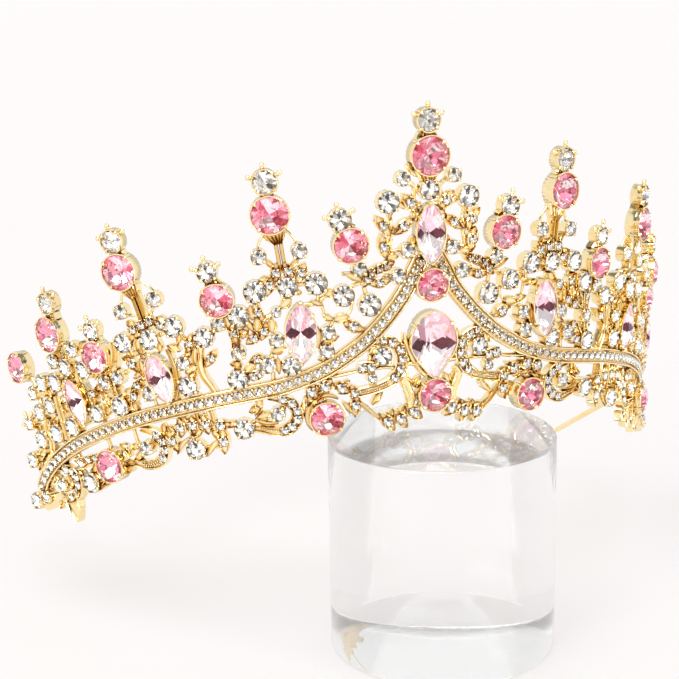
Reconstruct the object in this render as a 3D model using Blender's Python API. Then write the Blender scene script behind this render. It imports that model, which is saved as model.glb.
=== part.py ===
"""A princess crown: an open gold tiara with pink and clear cut stones, on a clear cylinder block.

The crown is a pierced wall that bends round the front of the head and leans outward. A place on
that wall is given by how far it lies along the base arc from the middle (along), how high up the
leaning wall it is (up), and how far it stands out of the wall (out). Both halves are alike, so
each table below holds the right half, and the left half is its mirror image.
Lengths are millimetres until a mesh is made. The origin is the middle of the block's base.
"""

import bmesh
import bpy
from math import cos, pi, radians, sin, tanh
from mathutils import Matrix, Vector

MM = 0.001

# The clear block that carries the crown
BLOCK_DIAMETER = 50.0
BLOCK_HEIGHT = 48.4
BLOCK_SIDES = 48

# How the crown sits on the block: it leans back until its lowest stones meet the block's top
SEAT = Vector((0.0, 5.5, 49.1))
LEAN_BACK = radians(28.6)

# The base arc: a front, a tighter cheek and an almost straight arm
FRONT_RADIUS = 96.0
CHEEK_RADIUS = 63.0
ARM_RADIUS = 300.0
CHEEK_START = 36.0
ARM_START = 76.0
ARC_BLEND = 5.0
ARC_STEP = 0.5
ARC_LENGTH = 130.0

# The wall leans outward most at the middle, and less towards the ends
FLARE_MIDDLE = radians(26.0)
FLARE_END = radians(9.0)
FLARE_REACH = 100.0

# Levels in the cast wall, measured outward from its middle surface. Its back is one level.
WALL_BACK = -1.2
WALL_FRONT = 0.8
BAND_FRONT = 1.2
CUP_WALL = 0.95
PLUG_WALL = 0.45
STONE_GAP = 0.3
POCKET_PAST = 0.5

# No edge of the flat drawing runs further along the arc than this when it is bent
LONGEST_EDGE = 13.0
FLAT_ENOUGH = 0.002

# A cut stone's proportions, as shares of its width
TABLE_SHARE = 0.58
CULET_SHARE = 0.15
CROWN_SHARE = 0.17
PAVILION_SHARE = 0.42
GIRDLE = 0.25
OUTLINE_SIDES = {"pink": 10, "clear": 8, "seat": 6, "marquise": 12, "pear": 12}
MARQUISE_POINT = 0.35
PEAR_TAPER = 0.42

# Stones that are pieces of their own. In the middle:
# name, up, width, height, form, rim level
MIDDLE_STONES = (
    ("clear_tip", 67.0, 4.6, 4.6, "clear", 2.0),
    ("pink_middle", 59.5, 8.0, 8.0, "pink", 2.6),
    ("marquise_middle", 42.6, 6.4, 12.8, "marquise", 2.0),
    ("pink_apex", 31.5, 6.6, 6.6, "pink", 2.4),
    ("pear_middle", 18.2, 9.2, 14.0, "pear", 2.4),
    ("pink_base", 7.0, 6.8, 6.8, "pink", 2.6),
)

# and on each half:
# name, along, up, width, height, form, rim level, turn in degrees
SIDE_STONES = (
    ("pink_1", 14.9, 42.0, 7.0, 7.0, "pink", 2.6, 0),
    ("pink_2", 28.1, 50.9, 7.6, 7.6, "pink", 2.6, 0),
    ("pink_3", 40.1, 34.8, 6.7, 6.7, "pink", 2.6, 0),
    ("pink_4", 56.0, 45.5, 7.5, 7.5, "pink", 2.6, 0),
    ("pink_5", 67.5, 29.2, 6.6, 6.6, "pink", 2.6, 0),
    ("pink_6", 78.5, 37.5, 7.6, 7.6, "pink", 2.6, 0),
    ("pink_7", 96.0, 33.6, 6.7, 6.7, "pink", 2.6, 0),
    ("pink_8", 23.4, 5.0, 6.8, 6.8, "pink", 2.6, 0),
    ("pink_9", 74.2, 4.9, 7.0, 7.0, "pink", 2.6, 0),
    ("clear_2", 28.0, 57.9, 4.8, 4.8, "clear", 2.0, 0),
    ("clear_4", 55.7, 52.3, 4.6, 4.6, "clear", 2.0, 0),
    ("clear_6", 75.9, 44.2, 4.4, 4.4, "clear", 2.0, 0),
    ("marquise_2", 26.0, 24.5, 6.4, 13.0, "marquise", 2.0, -7),
    ("marquise_4", 55.0, 20.7, 5.6, 11.0, "marquise", 2.0, 5),
    ("marquise_6", 77.7, 21.1, 5.4, 10.6, "marquise", 2.0, 3),
)

# Clear stones fused to their settings: along, up, width
MIDDLE_CLEARS = ((0.0, 52.1, 4.0),)
SIDE_CLEARS = (
    # beside the middle spire
    (4.7, 54.9, 2.8),
    (7.5, 50.2, 4.4),
    (4.4, 39.3, 2.9),
    (6.4, 34.0, 3.0),
    # first spire
    (16.2, 47.6, 4.4),
    (13.6, 36.5, 2.8),
    (17.0, 31.2, 4.2),
    (12.2, 28.4, 4.4),
    # second spire
    (24.0, 42.2, 3.0),
    (31.3, 42.3, 3.0),
    (27.1, 34.9, 4.0),
    (21.8, 34.7, 4.4),
    (33.2, 35.0, 4.4),
    (20.8, 23.7, 2.8),
    (21.5, 19.7, 2.9),
    (30.9, 23.7, 2.8),
    (28.9, 17.6, 3.8),
    (33.4, 18.7, 3.2),
    # third spire
    (40.8, 41.1, 4.0),
    (37.0, 30.3, 4.2),
    (38.5, 22.5, 2.8),
    (39.8, 16.7, 4.0),
    (44.3, 27.3, 4.0),
    # fourth spire
    (51.5, 37.8, 3.2),
    (58.7, 37.0, 3.0),
    (54.9, 29.6, 4.2),
    (49.4, 31.0, 4.2),
    (60.5, 30.3, 4.0),
    (49.6, 22.7, 2.8),
    (50.0, 17.5, 4.0),
    (58.5, 18.0, 3.0),
    # fifth spire
    (66.8, 35.0, 3.8),
    (68.0, 23.0, 3.2),
    (66.3, 17.0, 4.0),
    # sixth spire
    (73.7, 32.4, 3.2),
    (81.3, 31.5, 3.2),
    (77.8, 29.2, 4.0),
    (72.5, 27.2, 3.8),
    (83.3, 26.9, 4.2),
    (73.2, 17.0, 3.8),
    (82.5, 16.0, 4.2),
    # the end above the band
    (88.6, 28.0, 3.8),
    (93.4, 26.6, 3.0),
    (88.0, 22.3, 3.4),
    (93.0, 21.8, 3.6),
    (89.0, 15.8, 4.2),
    (95.4, 15.8, 4.0),
    (98.6, 20.4, 3.0),
    (101.4, 12.0, 3.4),
    # below the band
    (10.5, 16.8, 3.6),
    (40.9, 5.7, 4.0),
    (52.3, 3.4, 4.0),
    (63.6, 6.4, 2.9),
    (82.7, 2.5, 4.4),
    (92.7, 4.0, 2.9),
    (104.0, 2.6, 3.6),
)
CUT_FROM = 3.9
CLEAR_FRONT = 2.2
CLEAR_TABLE_SHARE = 0.85
SEAT_FRONT = 1.4

# The middle of the pave band, from the middle marquise's foot down the arch to the end
BAND_WIDTH = 3.7
BAND_LINE = (
    (1.6, 37.6),
    (3.2, 34.2),
    (5.0, 30.4),
    (8.0, 26.3),
    (11.0, 23.0),
    (14.5, 19.9),
    (18.5, 17.4),
    (22.6, 15.4),
    (27.0, 14.2),
    (32.0, 13.3),
    (38.0, 13.1),
    (46.0, 13.1),
    (54.0, 13.1),
    (62.0, 13.1),
    (70.0, 12.8),
    (77.0, 12.4),
    (84.0, 11.8),
    (90.0, 10.7),
    (95.0, 9.2),
    (99.0, 7.2),
    (102.0, 4.6),
)

# Cast stems, leaves and scrolls: width, then the places that each runs through
STEMS = (
    # the middle spire's arms
    (1.4, ((0.5, 53.6), (4.7, 54.9))),
    (2.0, ((1.2, 49.0), (6.0, 50.2))),
    (1.3, ((7.5, 49.0), (7.1, 44.0), (7.3, 40.0), (8.0, 37.0))),
    (2.0, ((2.8, 46.2), (7.2, 42.8))),
    (1.8, ((7.2, 42.6), (10.0, 46.8))),
    (2.2, ((7.5, 38.4), (8.9, 42.8))),
    (1.3, ((2.4, 40.2), (7.2, 39.2))),
    (1.3, ((3.4, 34.4), (9.0, 34.4))),
    # the leaf that runs from there to the first spire
    (3.6, ((7.7, 37.4), (9.6, 35.2), (12.6, 33.2))),
    (1.8, ((12.0, 33.4), (17.0, 31.2))),
    (1.6, ((13.4, 33.4), (16.8, 35.8))),
    (1.6, ((12.9, 32.6), (12.2, 28.4))),
    # first spire
    (1.4, ((15.0, 39.2), (13.0, 33.0))),
    (1.3, ((15.4, 30.0), (16.4, 26.6), (20.2, 26.2), (21.3, 31.2))),
    (2.0, ((17.8, 26.0), (12.6, 22.6))),
    (1.6, ((19.4, 26.0), (20.8, 23.7), (23.6, 23.4))),
    (1.6, ((21.0, 24.0), (21.4, 16.4))),
    (2.2, ((17.0, 31.4), (21.0, 31.2), (25.4, 30.2))),
    # second spire
    (1.6, ((27.6, 47.0), (26.8, 31.0))),
    (1.0, ((28.6, 47.2), (30.4, 43.0), (28.0, 39.6))),
    (1.0, ((26.6, 47.0), (24.6, 43.0), (26.4, 39.4))),
    (3.2, ((24.0, 37.6), (27.6, 38.4), (30.8, 35.8))),
    (1.6, ((21.8, 34.7), (33.2, 35.0))),
    (1.4, ((21.6, 34.0), (21.8, 30.8))),
    (2.0, ((27.6, 31.6), (33.0, 28.4))),
    (1.8, ((29.0, 24.0), (31.4, 22.6), (33.0, 15.0))),
    (2.6, ((33.4, 19.2), (36.6, 19.2), (38.6, 16.4))),
    # third spire
    (1.6, ((39.4, 32.0), (38.4, 18.0))),
    (2.2, ((33.2, 34.6), (33.4, 26.4), (35.6, 25.2))),
    (1.8, ((33.4, 30.8), (44.3, 27.8))),
    (1.6, ((44.9, 26.6), (46.3, 22.6), (46.2, 18.6), (44.4, 14.2))),
    (2.2, ((46.2, 25.2), (49.2, 29.4))),
    (2.4, ((46.3, 20.8), (52.4, 22.2))),
    # fourth spire
    (1.6, ((54.6, 42.2), (54.7, 25.4))),
    (1.0, ((55.6, 42.2), (57.4, 38.0), (55.6, 34.4))),
    (1.0, ((53.6, 42.2), (51.8, 38.0), (53.4, 34.4))),
    (3.0, ((51.4, 32.4), (54.6, 33.6), (57.8, 31.2))),
    (1.6, ((49.4, 30.6), (60.5, 30.3))),
    (1.6, ((50.0, 18.6), (50.0, 14.2))),
    (2.4, ((56.8, 25.4), (60.4, 25.0), (60.5, 29.0))),
    (2.4, ((57.0, 22.0), (60.8, 20.6), (63.8, 14.2))),
    (1.2, ((58.5, 18.6), (58.5, 14.2))),
    (2.0, ((60.4, 24.8), (68.0, 22.8), (75.4, 21.3))),
    # fifth spire
    (1.8, ((67.0, 26.4), (66.3, 14.0))),
    # sixth spire
    (1.8, ((77.8, 34.0), (77.8, 30.0))),
    (1.4, ((73.7, 32.4), (77.6, 33.4), (81.3, 31.5))),
    (1.8, ((72.5, 27.2), (77.8, 29.2), (83.3, 26.9))),
    (1.6, ((73.0, 21.6), (73.2, 13.6))),
    (2.0, ((79.8, 22.2), (88.0, 22.3), (98.6, 20.6))),
    (1.8, ((83.3, 26.9), (82.5, 13.0))),
    # the end above the band
    (1.8, ((83.3, 26.9), (88.6, 28.0), (93.4, 26.6))),
    (2.2, ((94.6, 31.2), (93.2, 22.0), (95.5, 10.0))),
    (1.8, ((88.3, 27.4), (88.8, 12.0))),
    (1.8, ((95.4, 15.8), (101.4, 12.0), (101.2, 6.0))),
    # below the middle of the arch
    (2.3, ((9.8, 20.5), (7.4, 18.9), (6.2, 15.8), (6.8, 13.4), (8.4, 11.6))),
    (2.3, ((8.2, 11.7), (12.0, 9.8), (16.9, 9.2), (19.5, 10.9), (26.0, 11.5))),
    (1.4, ((9.6, 20.4), (13.6, 20.6))),
    (1.2, ((4.0, 14.2), (22.0, 14.2))),
    (1.6, ((12.8, 20.4), (13.0, 9.8))),
    (2.2, ((12.9, 14.6), (14.9, 15.0))),
    (2.2, ((17.0, 9.8), (17.3, 4.8))),
    (1.4, ((23.2, 8.8), (23.0, 14.4))),
    (1.6, ((26.2, 11.4), (27.9, 8.0), (27.4, 4.6))),
    (1.1, ((11.4, 2.6), (14.8, 5.2), (16.8, 8.6))),
    (2.4, ((2.8, 4.6), (5.6, 2.8), (10.8, 2.2))),
    (1.4, ((3.2, 8.8), (7.8, 11.4))),
    # first crescent
    (2.2, ((34.6, 10.8), (31.6, 10.7), (29.5, 8.8), (29.2, 5.8), (31.0, 3.9), (33.6, 3.2))),
    (1.6, ((33.2, 3.4), (40.9, 5.7))),
    (1.6, ((33.3, 7.6), (39.4, 6.4))),
    (1.4, ((36.6, 7.4), (37.6, 12.4))),
    # the leaves between the crescents
    (2.2, ((40.9, 5.7), (48.8, 8.5), (54.6, 8.9), (59.4, 5.8))),
    (1.4, ((48.6, 8.4), (48.4, 12.4))),
    (1.4, ((54.6, 8.8), (54.9, 12.4))),
    (2.0, ((45.8, 7.2), (46.4, 3.6), (52.3, 3.2))),
    (1.6, ((52.3, 3.4), (53.0, 8.6))),
    # second crescent
    (2.2, ((63.2, 10.2), (60.2, 9.0), (59.0, 6.2), (60.2, 3.5), (63.5, 2.3))),
    (1.6, ((63.3, 2.5), (67.6, 3.8), (71.0, 4.6))),
    (1.6, ((63.6, 6.4), (68.0, 4.6))),
    (1.4, ((66.4, 6.0), (66.0, 12.2))),
    (1.6, ((62.8, 9.8), (63.0, 12.4))),
    (1.6, ((74.2, 8.8), (74.2, 12.0))),
    (2.2, ((77.2, 6.6), (84.4, 7.6), (86.0, 11.0))),
    (1.8, ((78.0, 4.0), (82.7, 2.5), (87.4, 3.4))),
    # end crescent and its foot
    (2.2, ((93.4, 7.8), (90.0, 7.2), (87.8, 5.0), (88.0, 2.4), (90.0, 0.7), (92.8, 0.4))),
    (2.4, ((92.4, 0.5), (97.0, 2.1), (104.0, 2.6))),
    (1.6, ((92.7, 4.0), (98.0, 6.8))),
    (1.6, ((92.9, 7.6), (93.2, 9.8))),
    (2.2, ((89.8, 0.8), (90.4, -2.8), (92.8, -3.8), (94.2, 0.8))),
    (1.6, ((103.6, 3.0), (101.8, 5.2))),
)

# The stem down the middle, behind the clear stone between the pink one and the marquise
MIDDLE_STEM = (2.4, ((0.0, 56.0), (0.0, 48.0)))

# Claws round the stone at each spire's tip: along, up and width of that stone, and their angles
TIP_STONES = (
    (16.2, 47.6, 4.4, (90,)),
    (28.0, 57.9, 4.8, (20, 90, 160)),
    (40.8, 41.1, 4.0, (90,)),
    (55.7, 52.3, 4.6, (20, 90, 160)),
    (66.8, 35.0, 3.8, (90,)),
    (75.9, 44.2, 4.4, (20, 90, 160)),
)
MIDDLE_TIP = (0.0, 67.0, 4.6, (20, 90, 160))
CLAW_LENGTH = 1.9
CLAW_WIDTH = 1.1

# The plain wire that runs back and inward from the band's end
WIRE_WIDTH = 1.5
WIRE_SIDES = 8
WIRE_FROM = (100.6, 11.6, 0.0)
WIRE_END = (72.5, 91.4, 8.0)


def turning(along):
    """How fast the base arc turns there, in radians for each millimetre."""
    cheek = 0.5 * (1 + tanh((along - CHEEK_START) / ARC_BLEND))
    arm = 0.5 * (1 + tanh((along - ARM_START) / ARC_BLEND))
    return (
        1 / FRONT_RADIUS
        + (1 / CHEEK_RADIUS - 1 / FRONT_RADIUS) * cheek
        + (1 / ARM_RADIUS - 1 / CHEEK_RADIUS) * arm
    )


def base_arc():
    """The base arc as rows of x, y and heading, by small steps."""
    rows = []
    x = y = heading = 0.0
    for step in range(int(ARC_LENGTH / ARC_STEP)):
        rows.append((x, y, heading))
        turn = turning((step + 0.5) * ARC_STEP) * ARC_STEP
        x += cos(heading + turn / 2) * ARC_STEP
        y += sin(heading + turn / 2) * ARC_STEP
        heading += turn
    return rows


ARC = base_arc()
TILT = Matrix.Rotation(-LEAN_BACK, 3, "X")


def flare(along):
    return FLARE_MIDDLE + (FLARE_END - FLARE_MIDDLE) * (along / FLARE_REACH) ** 2


def stretch(along, up):
    """How much wider the leaning wall is at this height than its base arc."""
    return 1 + turning(abs(along)) * up * sin(flare(along))


def seated(point):
    """A point of the crown's own frame, where the leaning crown has it on the block."""
    return TILT @ Vector(point) + SEAT


def bent(place):
    """A flat place (along, up, out) of the wall's drawing, where the bent wall has it."""
    along, up, out = place
    side = -1 if along < 0 else 1
    row = min(int(abs(along) / ARC_STEP), len(ARC) - 2)
    share = abs(along) / ARC_STEP - row
    x, y, heading = (a + (b - a) * share for a, b in zip(ARC[row], ARC[row + 1]))
    outward = Vector((side * sin(heading), -cos(heading), 0.0))
    lean = flare(along)
    reach = up * sin(lean) + out * cos(lean)
    return seated(Vector((side * x, y, up * cos(lean) - out * sin(lean))) + outward * reach)


def new_mesh(name, points, faces):
    mesh = bpy.data.meshes.new(name)
    mesh.from_pydata([point * MM for point in points], [], faces)
    shape = bmesh.new()
    shape.from_mesh(mesh)
    bmesh.ops.recalc_face_normals(shape, faces=shape.faces)
    shape.to_mesh(mesh)
    shape.free()
    return mesh


def lofted(name, rings):
    """A closed mesh through rings that have the same number of points."""
    sides = len(rings[0])
    points = [Vector(point) for ring in rings for point in ring]
    faces = [tuple(range(sides)), tuple(range(len(points) - sides, len(points)))]
    for level in range(len(rings) - 1):
        for i in range(sides):
            j = (i + 1) % sides
            low, high = level * sides, (level + 1) * sides
            faces.append((low + i, low + j, high + j, high + i))
    return new_mesh(name, points, faces)


def stem(name, side, width, line, back=WALL_BACK, front=WALL_FRONT):
    """A bar of the flat drawing, along a line of places."""
    left, right = [], []
    for i, (along, up) in enumerate(line):
        before, after = line[max(i - 1, 0)], line[min(i + 1, len(line) - 1)]
        wide = stretch(along, up)
        ahead, rise = (after[0] - before[0]) * wide, after[1] - before[1]
        half = width / 2 / (ahead * ahead + rise * rise) ** 0.5
        left.append((side * (along - rise * half / wide), up + ahead * half))
        right.append((side * (along + rise * half / wide), up - ahead * half))
    outline = left + right[::-1]
    return lofted(name, [[(*spot, out) for spot in outline] for out in (back, front)])


def stone_outline(form, width, height):
    """A stone's outline about its own middle."""
    sides = OUTLINE_SIDES[form]
    outline = []
    for i in range(sides):
        angle = 2 * pi * (i + (0.5 if form in ("pink", "clear") else 0)) / sides
        across, high = sin(angle), cos(angle)
        if form == "marquise":
            across *= abs(across) ** MARQUISE_POINT
        if form == "pear" and high < 0:
            across *= 1 - PEAR_TAPER * high * high
        outline.append((width / 2 * across, height / 2 * high))
    return outline


def flat_ring(side, along, up, outline, out, grow=0.0, scale=1.0, turn=0.0):
    """An outline on the flat drawing, scaled, grown outward by a width, and turned."""
    angle = radians(turn)
    wide = stretch(along, up)
    ring = []
    for x, y in outline:
        size = scale + grow / (x * x + y * y) ** 0.5
        across = (x * cos(angle) + y * sin(angle)) * size
        high = (y * cos(angle) - x * sin(angle)) * size
        ring.append((side * (along + across / wide), up + high, out))
    return ring


def stacked(name, side, along, up, outline, levels, turn=0.0):
    """A solid through one outline at several levels: out, grow and scale of each."""
    rings = [flat_ring(side, along, up, outline, out, grow, scale, turn) for out, grow, scale in levels]
    return lofted(name, rings)


def cup_levels(rim):
    """The metal round a stone."""
    return ((WALL_BACK, CUP_WALL, 1.0), (rim, CUP_WALL, 1.0))


def pocket_levels(rim):
    """The room in a cup for its stone, open at the back as in a cast setting."""
    return ((WALL_BACK - POCKET_PAST, STONE_GAP, 1.0), (rim + POCKET_PAST, STONE_GAP, 1.0))


def stone_levels(width, rim):
    """A cut stone whose girdle lies just inside its cup's rim."""
    girdle = rim - STONE_GAP
    culet = max(WALL_BACK, girdle - PAVILION_SHARE * width)
    return (
        (culet, 0.0, CULET_SHARE),
        (girdle - GIRDLE, 0.0, 1.0),
        (girdle, 0.0, 1.0),
        (girdle + CROWN_SHARE * width, 0.0, TABLE_SHARE),
    )


def clear_levels(width):
    """A clear stone and its setting in one piece. A small one is only the seat."""
    if width >= CUT_FROM:
        return ((WALL_BACK, PLUG_WALL, 1.0), (CLEAR_FRONT, 0.0, CLEAR_TABLE_SHARE))
    return ((WALL_BACK, PLUG_WALL, 1.0), (SEAT_FRONT, PLUG_WALL, 1.0))


def claws(side, along, up, width, angles):
    """The claws round a stone at a spire's tip, as bars of the flat drawing."""
    for angle in angles:
        line = []
        for reach in (width / 4, width / 2 + CLAW_LENGTH):
            across = reach * cos(radians(angle)) / stretch(along, up)
            line.append((along + across, up + reach * sin(radians(angle))))
        yield stem("claw", side, CLAW_WIDTH, line)


def wire(side):
    """The plain wire at one end, straight from the last clear stone's cup."""
    start = bent((side * WIRE_FROM[0], WIRE_FROM[1], WIRE_FROM[2]))
    end = seated((side * WIRE_END[0], WIRE_END[1], WIRE_END[2]))
    way = (end - start).normalized()
    across = way.cross(Vector((0, 0, 1))).normalized()
    high = across.cross(way)
    rings = []
    for point in (start, end):
        angles = [2 * pi * i / WIRE_SIDES for i in range(WIRE_SIDES)]
        rings.append([point + (across * cos(a) + high * sin(a)) * WIRE_WIDTH / 2 for a in angles])
    return lofted("wire", rings)


def material(name, colour, roughness, metallic=0.0, transmission=0.0):
    made = bpy.data.materials.new(name)
    made.use_nodes = True
    shader = made.node_tree.nodes["Principled BSDF"]
    shader.inputs["Base Color"].default_value = (*colour, 1.0)
    shader.inputs["Roughness"].default_value = roughness
    shader.inputs["Metallic"].default_value = metallic
    shader.inputs["Transmission Weight"].default_value = transmission
    return made


def shown(name, mesh, look):
    mesh.materials.append(look)
    piece = bpy.data.objects.new(name, mesh)
    bpy.context.scene.collection.objects.link(piece)
    return piece


def combine(piece, operation, name, meshes):
    """Joins helper meshes to a piece, or cuts them from it, with one Boolean modifier.

    The shapes share their front and back planes, where the exact solver leaves open edges.
    """
    group = bpy.data.collections.new(name)
    bpy.context.scene.collection.children.link(group)
    for i, mesh in enumerate(meshes):
        helper = bpy.data.objects.new(f"{name}_{i}", mesh)
        helper.hide_render = True
        helper.display_type = "WIRE"
        group.objects.link(helper)
    step = piece.modifiers.new(name, "BOOLEAN")
    step.operation = operation
    step.operand_type = "COLLECTION"
    step.collection = group
    step.solver = "MANIFOLD"


def bend_mesh(mesh):
    """Bends a flat mesh to the wall, after its flat faces are merged and its long edges cut."""
    shape = bmesh.new()
    shape.from_mesh(mesh)
    bmesh.ops.dissolve_limit(
        shape, angle_limit=FLAT_ENOUGH, verts=shape.verts, edges=shape.edges, delimit=set()
    )
    bmesh.ops.triangulate(shape, faces=shape.faces)
    while True:
        long = [e for e in shape.edges if abs(e.verts[0].co.x - e.verts[1].co.x) > LONGEST_EDGE * MM]
        if not long:
            break
        bmesh.ops.subdivide_edges(shape, edges=long, cuts=1)
        bmesh.ops.triangulate(shape, faces=shape.faces)
    for vertex in shape.verts:
        vertex.co = bent(vertex.co / MM) * MM
    shape.to_mesh(mesh)
    shape.free()
    return mesh


def settled(piece):
    """The mesh that a piece's modifiers make, with the modifiers and their helpers removed."""
    graph = bpy.context.evaluated_depsgraph_get()
    mesh = bpy.data.meshes.new_from_object(piece.evaluated_get(graph))
    for step in list(piece.modifiers):
        for helper in list(step.collection.objects):
            bpy.data.objects.remove(helper)
        bpy.data.collections.remove(step.collection)
        piece.modifiers.remove(step)
    return mesh


def clear_scene():
    for thing in list(bpy.data.objects):
        bpy.data.objects.remove(thing)


def stone_rows():
    """Every separate stone: name, side, along, up, width, height, form, rim and turn."""
    for name, up, width, height, form, rim in MIDDLE_STONES:
        yield name, 1, 0.0, up, width, height, form, rim, 0
    for side, word in ((1, "right"), (-1, "left")):
        for name, along, up, width, height, form, rim, turn in SIDE_STONES:
            yield f"{name}_{word}", side, along, up, width, height, form, rim, turn


def metal_pieces():
    """The flat shapes that are soldered to the band."""
    made = [stem("stem", 1, *MIDDLE_STEM)]
    clears = [(1, *row) for row in MIDDLE_CLEARS] + [(side, *row) for side in (1, -1) for row in SIDE_CLEARS]
    for side, along, up, width in clears:
        outline = stone_outline("clear" if width >= CUT_FROM else "seat", width, width)
        made.append(stacked("plug", side, along, up, outline, clear_levels(width)))
    made += claws(1, *MIDDLE_TIP)
    for side in (1, -1):
        made += [stem("stem", side, width, line) for width, line in STEMS]
        for tip in TIP_STONES:
            made += claws(side, *tip)
    for _, side, along, up, width, height, form, rim, turn in stone_rows():
        outline = stone_outline(form, width, height)
        made.append(stacked("cup", side, along, up, outline, cup_levels(rim), turn))
    return made


def build():
    clear_scene()
    gold = material("gold_plate", (0.95, 0.66, 0.30), 0.22, metallic=1.0)
    pale_pink = material("pale_pink_glass", (0.97, 0.66, 0.74), 0.03, transmission=0.4)
    looks = {
        "pink": material("pink_glass", (0.93, 0.25, 0.36), 0.03, transmission=0.4),
        "pear": pale_pink,
        "marquise": pale_pink,
        "clear": material("clear_stone_glass", (0.95, 0.96, 0.97), 0.03, transmission=0.5),
    }
    block_glass = material("clear_block_glass", (1.0, 1.0, 1.0), 0.02, transmission=1.0)

    whole_band = [(-along, up) for along, up in BAND_LINE[::-1]] + list(BAND_LINE)
    frame = shown("crown_frame", stem("band", 1, BAND_WIDTH, whole_band, WALL_BACK, BAND_FRONT), gold)
    combine(frame, "UNION", "metal", metal_pieces())
    pockets = []
    for name, side, along, up, width, height, form, rim, turn in stone_rows():
        outline = stone_outline(form, width, height)
        pockets.append(stacked("pocket", side, along, up, outline, pocket_levels(rim), turn))
        stone = stacked(name, side, along, up, outline, stone_levels(width, rim), turn)
        shown(name, bend_mesh(stone), looks[form])
    combine(frame, "DIFFERENCE", "pockets", pockets)
    frame.data = bend_mesh(settled(frame))
    combine(frame, "UNION", "wires", [wire(1), wire(-1)])

    base = []
    for i in range(BLOCK_SIDES):
        angle = 2 * pi * i / BLOCK_SIDES
        base.append(Vector((cos(angle), sin(angle), 0)) * BLOCK_DIAMETER / 2)
    top = [point + Vector((0, 0, BLOCK_HEIGHT)) for point in base]
    shown("display_block", lofted("display_block", (base, top)), block_glass)


build()
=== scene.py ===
"""A princess crown: an open gold tiara set with pink and clear cut stones, on a clear glass block.

The crown is drawn flat, as its maker's casting model is, and then bent round the head. A place on
the drawing is how far it lies along the base arc from the middle, how high up the wall it is, and
how far it stands out of the wall, all in millimetres.
"""

from math import atan2, cos, hypot, pi, radians, sin, tanh

import bmesh
import bpy
from mathutils import Matrix, Vector


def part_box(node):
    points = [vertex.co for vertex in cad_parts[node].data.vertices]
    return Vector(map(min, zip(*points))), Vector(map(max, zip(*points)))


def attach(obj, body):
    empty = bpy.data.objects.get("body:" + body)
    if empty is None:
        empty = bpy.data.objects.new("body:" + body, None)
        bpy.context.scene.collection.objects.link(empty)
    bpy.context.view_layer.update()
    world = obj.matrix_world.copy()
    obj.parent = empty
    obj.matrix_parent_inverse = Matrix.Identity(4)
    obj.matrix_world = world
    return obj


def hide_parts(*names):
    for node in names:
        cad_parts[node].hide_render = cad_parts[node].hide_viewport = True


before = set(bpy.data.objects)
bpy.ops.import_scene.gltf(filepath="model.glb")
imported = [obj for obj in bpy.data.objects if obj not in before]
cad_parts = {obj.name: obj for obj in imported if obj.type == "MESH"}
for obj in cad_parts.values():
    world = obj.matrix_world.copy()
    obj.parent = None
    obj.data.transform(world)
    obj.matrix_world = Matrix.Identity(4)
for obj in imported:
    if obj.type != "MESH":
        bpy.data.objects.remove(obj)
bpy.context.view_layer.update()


# The display block is a solid cylinder of clear glass, turned true and polished all over.
# Its two rims are slightly rounded, and it stands on its flat underside.

MM = 0.001
BLOCK_RIM = 0.6 * MM
BLOCK_RIM_STEPS = 4
BLOCK_SIDES = 160
BLOCK_CREASE = 50


def new_material(name, **values):
    """A material with these values on its Principled shader, and its nodes, links and shader."""
    made = bpy.data.materials.new(name)
    made.use_nodes = True
    nodes = made.node_tree.nodes
    shader = nodes["Principled BSDF"]
    for socket, value in values.items():
        shader.inputs[socket.replace("_", " ")].default_value = value
    return made, nodes, made.node_tree.links, shader


def new_piece(name, shape, looks, slot, crease):
    """Makes a bmesh a piece, smooth but for the edges sharper than the crease, in degrees.

    All the plated pieces together take the place of the cast frame.
    """
    mesh = bpy.data.meshes.new(name)
    shape.to_mesh(mesh)
    shape.free()
    for look in looks:
        mesh.materials.append(look)
    mesh.shade_smooth()
    mesh.set_sharp_from_angle(angle=radians(crease))
    piece = bpy.data.objects.new(name, mesh)
    bpy.context.scene.collection.objects.link(piece)
    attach(piece, "root")
    if slot == "gold_plate":
        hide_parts("crown_frame")
    return piece


block_glass, _, _, _ = new_material(
    "clear block glass",
    Base_Color=(0.985, 0.99, 0.99, 1),
    Roughness=0.0,
    IOR=1.49,
    Transmission_Weight=1.0,
    Alpha=0.8,
)
block_low, block_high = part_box("display_block")
block_height = block_high.z - block_low.z
block_radius = (block_high.x - block_low.x) / 2
shape = bmesh.new()
bmesh.ops.create_cone(
    shape,
    cap_ends=True,
    segments=BLOCK_SIDES,
    radius1=block_radius,
    radius2=block_radius,
    depth=block_height,
    matrix=Matrix.Translation((0, 0, block_height / 2)),
)
rims = [edge for edge in shape.edges if abs(edge.verts[0].co.z - edge.verts[1].co.z) < MM]
bmesh.ops.bevel(
    shape,
    geom=rims,
    offset=BLOCK_RIM,
    segments=BLOCK_RIM_STEPS,
    profile=0.5,
    affect="EDGES",
    material=-1,
)
block = new_piece("clear_block", shape, [block_glass], "clear_block_glass", BLOCK_CREASE)
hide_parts("display_block")


# The pave band is the crown's spine: a cast strip that climbs from each end to the middle stone.
# A rail runs along both of its edges, and beads raised from the strip hold its small clear stones.

SEAT = Vector((0.0, 5.5, 49.1))
LEAN_BACK = radians(28.6)
FRONT_RADIUS = 96.0
CHEEK_RADIUS = 63.0
ARM_RADIUS = 300.0
CHEEK_START = 36.0
ARM_START = 76.0
ARC_BLEND = 5.0
ARC_STEP = 0.5
ARC_LENGTH = 130.0
FLARE_MIDDLE = radians(26.0)
FLARE_END = radians(9.0)
FLARE_REACH = 100.0
WALL_BACK = -1.2


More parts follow.
